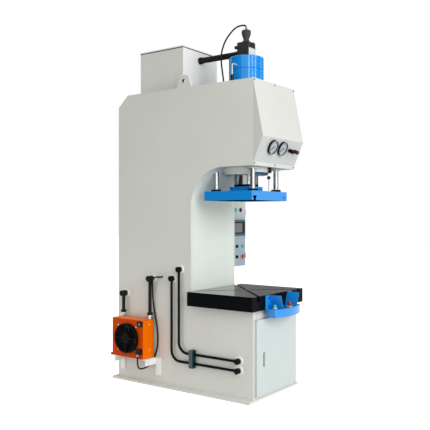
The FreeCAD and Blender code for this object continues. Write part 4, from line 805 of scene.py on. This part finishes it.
GLAND_BOLT_CIRCLE, GLAND_BOLTS = 0.160, 12
gland_low, gland_high = corners("gland_ring")
gland_x, gland_y, _ = (gland_low + gland_high) / 2
gland_places = ring_places((gland_x, gland_y, gland_low[2]), GLAND_BOLT_CIRCLE, GLAND_BOLTS)
bolts("gland_bolts", 0.010, 0.003, gland_places, (0, 0, -1), black_paint, "frame")

FOOT_RADIUS, FOOT_BOLT_CIRCLE, FOOT_THICK = 0.043, 0.0325, 0.016
feet_low, feet_high = corners("rod_feet")
foot_bolts = np.vstack([
    ring_places((x, y, feet_low[2] + FOOT_THICK), FOOT_BOLT_CIRCLE, 4, math.pi / 4)
    for x in (feet_low[0] + FOOT_RADIUS, feet_high[0] - FOOT_RADIUS)
    for y in (feet_low[1] + FOOT_RADIUS, feet_high[1] - FOOT_RADIUS)])
bolts("foot_bolts", 0.0055, 0.005, foot_bolts, (0, 0, 1), black_paint, "ram")
print(len(screw_places), "cover screws,", len(gland_places), "gland bolts,", len(foot_bolts),
      "foot bolts")

# %% [markdown]
# ### Fasteners of the cooler and the station
# Four bright bolts hold the fan's guard, and two round bosses stand on the housing's front. Four
# low blue heads fix the station's tabs to the table's front. The same two profiles make them all.

# %% Guard bolts, housing bosses and tab bolts
GUARD_BOLT_CIRCLE = 0.152
cooler_face = housing_low[0]
_, guard_y, guard_z = sum(corners("fan_shroud")) / 2
guard_spread = GUARD_BOLT_CIRCLE / math.sqrt(2)
guard_bolts = [(cooler_face, guard_y + side * guard_spread, guard_z + level * guard_spread)
               for side in (-1, 1) for level in (-1, 1)]
bolts("guard_bolts", 0.0085, 0.009, guard_bolts, (-1, 0, 0), collar_metal, "frame")

BOSS_INSET, LOW_BOSS, HIGH_BOSS = 0.088, 0.070, 0.045
housing_bosses = [(housing_low[0] + BOSS_INSET, housing_low[1], z)
                  for z in (housing_low[2] + LOW_BOSS, housing_high[2] - HIGH_BOSS)]
turned_set("housing_bosses", dome_head(0.013, 0.004), housing_bosses, (0, -1, 0), boss_paint,
           "frame")

TAB_THICK = 0.010
TAB_COLUMNS, TAB_LEVELS = (-0.172, 0.156), (0.766, 0.826)
tab_face = corners("table")[0][1] - TAB_THICK
tab_bolts = [(x, tab_face, z) for x in TAB_COLUMNS for z in TAB_LEVELS]
turned_set("tab_bolts", dome_head(0.0084, 0.002), tab_bolts, (0, -1, 0), bolt_blue, "frame")
print(len(guard_bolts), "guard bolts,", len(housing_bosses), "bosses,", len(tab_bolts),
      "tab bolts")

# %% [markdown]
# ## Gauge faces
# Each gauge has a pale dial with a scale of ticks round three quarters of a turn, and a bezel
# round it. Ticks in a texture would blur from close by, so they are thin bars: one bar's corners
# are turned through every tick's angle at once. The dials face along the normal of the sloped
# panel, and the joints of the needles give their centres.

# %% Dials, bezels and scales
PANEL_BACK, PANEL_DROP = 88, 200  # the panel leans back this far over this drop
PANEL_SLOPE = math.atan(PANEL_BACK / PANEL_DROP)
PANEL_NORMAL = (0.0, -math.cos(PANEL_SLOPE), -math.sin(PANEL_SLOPE))
DIAL_RADIUS, DIAL_RISE, DIAL_THICK = 0.0535, 0.0151, 0.0004
BEZEL_RADIUS, CASE_FRONT = 0.0613, 0.024
TICKS, MAJOR_EVERY = 26, 5
TICK_SWEEP = math.radians(270)
MAJOR_START, MINOR_START, TICK_END = 0.74, 0.82, 0.92  # shares of the dial's radius
MAJOR_HALF, MINOR_HALF = 0.0011, 0.0006
TICK_BOTTOM, TICK_TOP = DIAL_RISE - 0.0002, DIAL_RISE + 0.0003

turns = {joint["name"]: joint for joint in frame["joints"]}
dial_centres = [np.array(turns[name]["pos_m"]) for name in ("needle_left_turn",
                                                            "needle_right_turn")]
dial_face = moulded("dial_face", (0.34, 0.39, 0.41), 0.30, coat=0.3)
dial_print = moulded("dial_print", (0.01, 0.01, 0.01), 0.40)


def dial_ticks():
    """Thin bars from an inner to an outer radius: corner = out * r +- side * half, at two
    heights. Each fifth bar is longer and wider."""
    index = np.arange(TICKS)
    angle = np.pi / 2 + TICK_SWEEP / 2 - TICK_SWEEP * index / (TICKS - 1)
    major = index % MAJOR_EVERY == 0
    start = np.where(major, MAJOR_START, MINOR_START) * DIAL_RADIUS
    half = np.where(major, MAJOR_HALF, MINOR_HALF)
    out = np.stack([np.cos(angle), np.sin(angle)], axis=1)
    side = np.stack([-out[:, 1], out[:, 0]], axis=1) * half[:, None]
    near = out * start[:, None]
    far = out * (DIAL_RADIUS * TICK_END)
    bars = np.stack([near - side, far - side, far + side, near + side], axis=1)
    layers = [np.concatenate([bars, np.full((TICKS, 4, 1), level)], axis=2)
              for level in (TICK_BOTTOM, TICK_TOP)]
    return np.concatenate(layers, axis=1).reshape(-1, 3)


dial_profile = [(DIAL_RADIUS, DIAL_RISE - DIAL_THICK), (DIAL_RADIUS, DIAL_RISE)]
turned_set("dial_faces", dial_profile, dial_centres, PANEL_NORMAL, dial_face, "frame",
           sides=48, smooth=False)
bezel_profile = [(DIAL_RADIUS, CASE_FRONT - 0.003), (BEZEL_RADIUS, CASE_FRONT - 0.0035),
                 (BEZEL_RADIUS, CASE_FRONT - 0.002), (BEZEL_RADIUS - 0.003, CASE_FRONT + 0.001),
                 (DIAL_RADIUS + 0.0012, CASE_FRONT + 0.001)]
turned_set("gauge_bezels", bezel_profile, dial_centres, PANEL_NORMAL, bezel_metal, "frame",
           sides=48, hollow=True)

panel_turn = np.array(Matrix.Rotation(math.pi / 2 + PANEL_SLOPE, 3, "X"))
marks = dial_ticks() @ panel_turn.T
mark_points = np.concatenate([marks + centre for centre in dial_centres])
bar_faces = np.array(grid_faces(2, 4))
bar_starts = np.arange(len(mark_points) // 8) * 8
mark_faces = (bar_faces[None] + bar_starts[:, None, None]).reshape(-1, 4).tolist()
add_piece("dial_marks", mark_points, mark_faces, dial_print, "frame", False)
print(len(dial_centres), "dials with", TICKS, "ticks each")

# %% [markdown]
# ## Thin plates
# The valve carries a thin bright plate, and the screen a black frame with a glass in it. A plain
# box has corners that are too sharp, so a plate is a stack of one rounded rectangle, a little
# smaller at the top for a softened edge: a superellipse |x/a|^n + |y/b|^n = 1 with a high n.

# %% The valve's plate and the screen
EDGE_SHARE = 0.4


def rounded_outline(half_x, half_y, count=64, power=12.0):
    """Points of a superellipse, x = a sgn(cos) |cos|^(2/n) and the same for y with sin."""
    t = np.linspace(0, 2 * np.pi, count, endpoint=False)
    c, s = np.cos(t), np.sin(t)
    x = half_x * np.sign(c) * np.abs(c) ** (2 / power)
    y = half_y * np.sign(s) * np.abs(s) ** (2 / power)
    return np.stack([x, y], axis=1)


def stacked(rings):
    """Closed surface through rings given as (outline, height), with flat ends."""
    layers = [np.column_stack([ring, np.full(len(ring), height)]) for ring, height in rings]
    return np.concatenate(layers), grid_faces(len(layers), len(layers[0]))


def thin_plate(name, centre, half_x, half_z, thick, finish, body):
    """A rounded plate that faces the operator, with its back on the surface behind it."""
    edge = thick * EDGE_SHARE
    wide = rounded_outline(half_x, half_z)
    top = rounded_outline(half_x - edge, half_z - edge)
    points, faces = stacked([(wide, 0), (wide, thick - edge), (top, thick)])
    turn = np.array(Matrix.Rotation(math.pi / 2, 3, "X"))
    add_piece(name, points @ turn.T + np.array(centre), faces, finish, body, False)


VALVE_FACE, PLATE_SHIFT, PLATE_RISE = -0.055, 0.004, 0.044
PLATE_HALF_WIDTH, PLATE_HALF_HEIGHT, PLATE_THICK = 0.049, 0.039, 0.0015
plate_middle = (PLATE_SHIFT, VALVE_FACE, corners("prefill_valve")[0][2] + PLATE_RISE)
thin_plate("valve_plate", plate_middle, PLATE_HALF_WIDTH, PLATE_HALF_HEIGHT, PLATE_THICK,
           plate_alloy, "frame")

FRAME_INSET, FRAME_HALF_HEIGHT, FRAME_THICK = 0.002, 0.057, 0.0012
GLASS_SHIFT, GLASS_HALF_WIDTH, GLASS_HALF_HEIGHT, GLASS_THICK = -0.022, 0.066, 0.044, 0.0008
screen_low, screen_high = corners("control_screen")
screen_x, _, screen_z = (screen_low + screen_high) / 2
frame_half_width = (screen_high[0] - screen_low[0]) / 2 - FRAME_INSET
thin_plate("screen_frame", (screen_x, screen_low[1], screen_z), frame_half_width,
           FRAME_HALF_HEIGHT, FRAME_THICK, screen_black, "cabinet_door")
thin_plate("screen_glass", (screen_x + GLASS_SHIFT, screen_low[1] - FRAME_THICK, screen_z),
           GLASS_HALF_WIDTH, GLASS_HALF_HEIGHT, GLASS_THICK, screen_glass, "cabinet_door")
print("three thin plates")

# %% [markdown]
# ## Collars and rims
# A bright collar stands round each palm button, and a coloured rim round each lamp. Solid discs
# would cut through what they surround, so each profile is a closed loop clear of the axis.

# %% Rings round buttons and lamps
TRAY_TOP, COLLAR_HEIGHT = 0.740, 0.014
collar_profile = [(0.0141, 0.0), (0.0175, 0.0), (0.0175, COLLAR_HEIGHT - 0.002),
                  (0.0160, COLLAR_HEIGHT), (0.0141, COLLAR_HEIGHT)]
palm_places = []
for name in ("palm_button_left", "palm_button_right"):
    palm_x, palm_y, _ = sum(corners(name)) / 2
    palm_places.append((palm_x, palm_y, TRAY_TOP))
turned_set("palm_collars", collar_profile, palm_places, (0, 0, 1), collar_metal, "frame",
           hollow=True)

RIM_WIDTH, RIM_HEIGHT, RIM_LAP, RIM_SINK = 0.0055, 0.0045, 0.0004, 0.0002
lamp_radius = (lamp_high[2] - lamp_low[2]) / 2
lamp_level = (lamp_low[2] + lamp_high[2]) / 2
rim_inner, rim_outer = lamp_radius - RIM_LAP, lamp_radius + RIM_WIDTH
rim_profile = [(rim_inner, 0.0), (rim_outer, 0.0), (rim_outer, RIM_HEIGHT - 0.0015),
               (rim_outer - 0.002, RIM_HEIGHT), (rim_inner, RIM_HEIGHT)]
rim_places = [(x, lamp_high[1] + RIM_SINK, lamp_level)
              for x in (lamp_low[0] + lamp_radius, lamp_high[0] - lamp_radius)]
turned_set("lamp_rims", rim_profile, rim_places, (0, -1, 0), lamp_lenses, "cabinet_door",
           hollow=True)
print(len(palm_places), "collars and", len(rim_places), "rims")

# %% [markdown]
# ## Cable ends and small parts of the cooler
# A gland leads the one cable into the fan's box, and a boot the other into its plug. Both are
# rings, because the cable passes through. The thermostat's dial is a low dome on the cooler's
# upper box, and a long bolt sticks out behind the housing, at its lower outer corner.

# %% Gland, dial, corner bolt and boot
RING_INNER, GLAND_OUTER, GLAND_LENGTH, GLAND_SINK = 0.0072, 0.0112, 0.021, 0.002
gland_profile = [(RING_INNER, 0.0), (GLAND_OUTER, 0.0), (GLAND_OUTER, GLAND_LENGTH),
                 (RING_INNER, GLAND_LENGTH)]
lead_x, lead_y, _ = (part * MM for part in COOLER_CABLE[-1])
fan_gland_place = (lead_x, lead_y, corners("fan_boxes")[0][2] - GLAND_SINK)
turned_set("fan_gland", gland_profile, [fan_gland_place], (0, 0, 1), boot_plastic, "frame",
           hollow=True)

BOX_DEPTH, DIAL_Y, DIAL_Z = 0.018, 0.784, 0.5465
turned_set("thermostat_dial", dome_head(0.011, 0.003), [(cooler_face - BOX_DEPTH, DIAL_Y, DIAL_Z)],
           (-1, 0, 0), dial_grey, "frame")

CORNER_INSET, CORNER_RISE = 0.010, 0.008
corner_place = (cooler_face + CORNER_INSET, housing_high[1], housing_low[2] + CORNER_RISE)
bolts("corner_bolt", 0.012, 0.024, [corner_place], (0, 1, 0), screw_steel, "frame")

PLUG_TOP, BOOT_HEIGHT = 3.111, 0.0115
boot_profile = [(RING_INNER, 0.0), (0.0100, 0.0), (0.0100, 0.007), (0.0085, BOOT_HEIGHT),
                (RING_INNER, BOOT_HEIGHT)]
turned_set("cable_boot", boot_profile, [(0.0, 0.0, PLUG_TOP)], (0, 0, 1), boot_plastic,
           "frame", hollow=True)
print("gland, dial, bolt and boot in place")

# %% [markdown]
# ## The shade under the tank's lid
# A thin dark line shows between the tank and its lid: the lid's edge in shade. A dark rubber
# slab paints that shade. Only its edge is ever seen, so it is one solid slab with the lid's
# outline, half a millimetre proud.

# %% Lay the dark slab of painted shade under the lid
# painted shade: a dark slab stands for the shaded edge under the lid
SHADE_SLAB_HEIGHT, SHADE_SLAB_PROUD, SHADE_SLAB_OVERLAP = 0.006, 0.0005, 0.0002
lid_low, lid_high = corners("tank_lid")
lid_x, lid_y, _ = (lid_low + lid_high) / 2
lid_half = (lid_high - lid_low) / 2 + SHADE_SLAB_PROUD
shade_slab = rounded_outline(lid_half[0], lid_half[1], 96, 60.0)
points, faces = stacked([(shade_slab, -SHADE_SLAB_HEIGHT), (shade_slab, SHADE_SLAB_OVERLAP)])
add_piece("lid_seal", points + (lid_x, lid_y, lid_low[2]), faces, hose_rubber, "frame",
          False)
print("seal of", np.round(2 * lid_half[:2], 3), "m")

# %% [markdown]
# ## Lamps
# A white studio lights the press with large soft lamps: a key from the front left, a fill, one
# from behind, and a low one for the foot of the left side, which the others leave a little dark.
# Reflections don't see their round shapes. They do see three upright strips, which draw bright
# lines down the cylinder and the rods.

# %% Hang the lamps
def soft_lamp(name, place, target, size, power, tall=None):
    """A round soft lamp that reflections don't see, or an upright strip that they do."""
    lamp = bpy.data.lights.new(name, "AREA")
    lamp.shape = "RECTANGLE" if tall else "DISK"
    lamp.size = size
    lamp.size_y = tall or size
    lamp.energy = power
    item = new_object(name, lamp)
    item.location = place
    item.visible_glossy = bool(tall)
    item.rotation_euler = (Vector(target) - Vector(place)).to_track_quat("-Z", "Y").to_euler()


MIDDLE = (0.0, 0.2, 1.5)
COOLER_FOOT = (-0.33, 1.0, 0.4)
soft_lamp("key_left", (-1.6, -6.8, 3.8), MIDDLE, 4.0, 170)
soft_lamp("fill", (-6.0, -0.5, 3.2), MIDDLE, 4.0, 12)
soft_lamp("back", (4.0, 5.0, 4.0), MIDDLE, 4.0, 60)
soft_lamp("low_left", (-2.2, 1.9, 0.5), COOLER_FOOT, 0.9, 4.5)

STRIP_AWAY, STRIP_LEVEL, STRIP_HEIGHT = 6.0, 2.7, 5.0
STRIPS = ((231, 0.8, 70), (253, 0.4, 44), (276, 0.6, 58))  # bearing, width and power
for index, (bearing, width, power) in enumerate(STRIPS):
    angle = math.radians(bearing)
    spot = (STRIP_AWAY * math.cos(angle), STRIP_AWAY * math.sin(angle), STRIP_LEVEL)
    soft_lamp(f"strip_{index}", spot, (0.0, 0.0, STRIP_LEVEL), width, power, tall=STRIP_HEIGHT)
print(len(bpy.data.lights), "lamps,", len(STRIPS), "of them strips")

# %% [markdown]
# ## Floor and flags
# The floor is pale and takes the press's shadow, and it glows for the camera and for reflections
# alone, so that it looks white without lighting the press from below. Dark flags round the press,
# which only reflections see, give the chrome its dark edges and the table's top something dark to
# mirror, as black boards do in a real studio.

# %% Lay the floor and stand up the flags
BLACK, WHITE = (0.0, 0.0, 0.0), (1.0, 1.0, 1.0)
FLOOR_HALF, FLOOR_GLOW = 30.0, 0.90
FLAG_HEIGHT = 6.0
FLAGS = (  # bearing, width, distance and grey
    (140, 10.0, 6.0, 0.01),
    (33, 6.5, 7.0, 0.30),
    (303, 3.2, 6.0, 0.01),
    (350, 2.4, 6.0, 0.01),
)
UNSEEN_BY = ("camera", "diffuse", "transmission", "volume_scatter", "shadow")


def card(name, points, finish):
    """A flat card through four corners, which is part of the stage."""
    mesh = bpy.data.meshes.new(name)
    mesh.from_pydata(np.array(points).tolist(), [], [(0, 1, 2, 3)])
    item = new_object(name, mesh)
    dress(item, finish)
    return item


floor_white = Finish("floor_white", (0.58, 0.58, 0.58), 0.8)
seen = floor_white.ray("Is Camera Ray").maths("MAXIMUM", floor_white.ray("Is Glossy Ray"))
floor_white.put("Emission Color", floor_white.blend(seen, BLACK, WHITE))
floor_white.put("Emission Strength", FLOOR_GLOW)
card("floor", [(x * FLOOR_HALF, y * FLOOR_HALF, 0.0)
               for x, y in ((-1, -1), (1, -1), (1, 1), (-1, 1))], floor_white)

for index, (bearing, width, away, grey) in enumerate(FLAGS):
    angle = math.radians(bearing)
    out = np.array([math.cos(angle), math.sin(angle), 0.0])
    side = np.array([-out[1], out[0], 0.0]) * width / 2
    top = np.array([0.0, 0.0, FLAG_HEIGHT])
    left, right = out * away - side, out * away + side
    dark = Finish(f"flag_grey_{index}", (grey, grey, grey), 0.9)
    flag = card(f"flag_{index}", [left, right, right + top, left + top], dark)
    for ray in UNSEEN_BY:
        setattr(flag, "visible_" + ray, False)
print("a floor and", len(FLAGS), "flags")

# %% [markdown]
# ## The world
# The backdrop is the world itself. It is pure white to the camera, to reflections and through
# glass, and a softer white as light, because a backdrop as bright as it looks would wash out the
# shades between the press's sides. Standard view keeps each colour as it is written.

# %% Light the world
SKY_LIGHT = 0.61


def build_world():
    """Two white backgrounds, mixed by the largest of three ray masks."""
    world = bpy.data.worlds.new("studio")
    bpy.context.scene.world = world
    world.use_nodes = True
    world.node_tree.nodes.clear()
    sky = Graph(world.node_tree)
    seen = sky.ray("Is Camera Ray")
    for kind in ("Is Transmission Ray", "Is Glossy Ray"):
        seen = seen.maths("MAXIMUM", sky.ray(kind))
    soft, bright = (
        sky.node("ShaderNodeBackground", {}, {"Color": opaque(WHITE), "Strength": strength})
        for strength in (SKY_LIGHT, 1.0))
    shown = sky.node("ShaderNodeMixShader", {}, {0: seen, 1: soft, 2: bright})
    sky.node("ShaderNodeOutputWorld", {}, {"Surface": shown})


build_world()
bpy.context.scene.view_settings.view_transform = "Standard"
print("studio ready")

# %% [markdown]
# ## The end
# The dressed press has to stay in the frame's box.


print("press dressed")
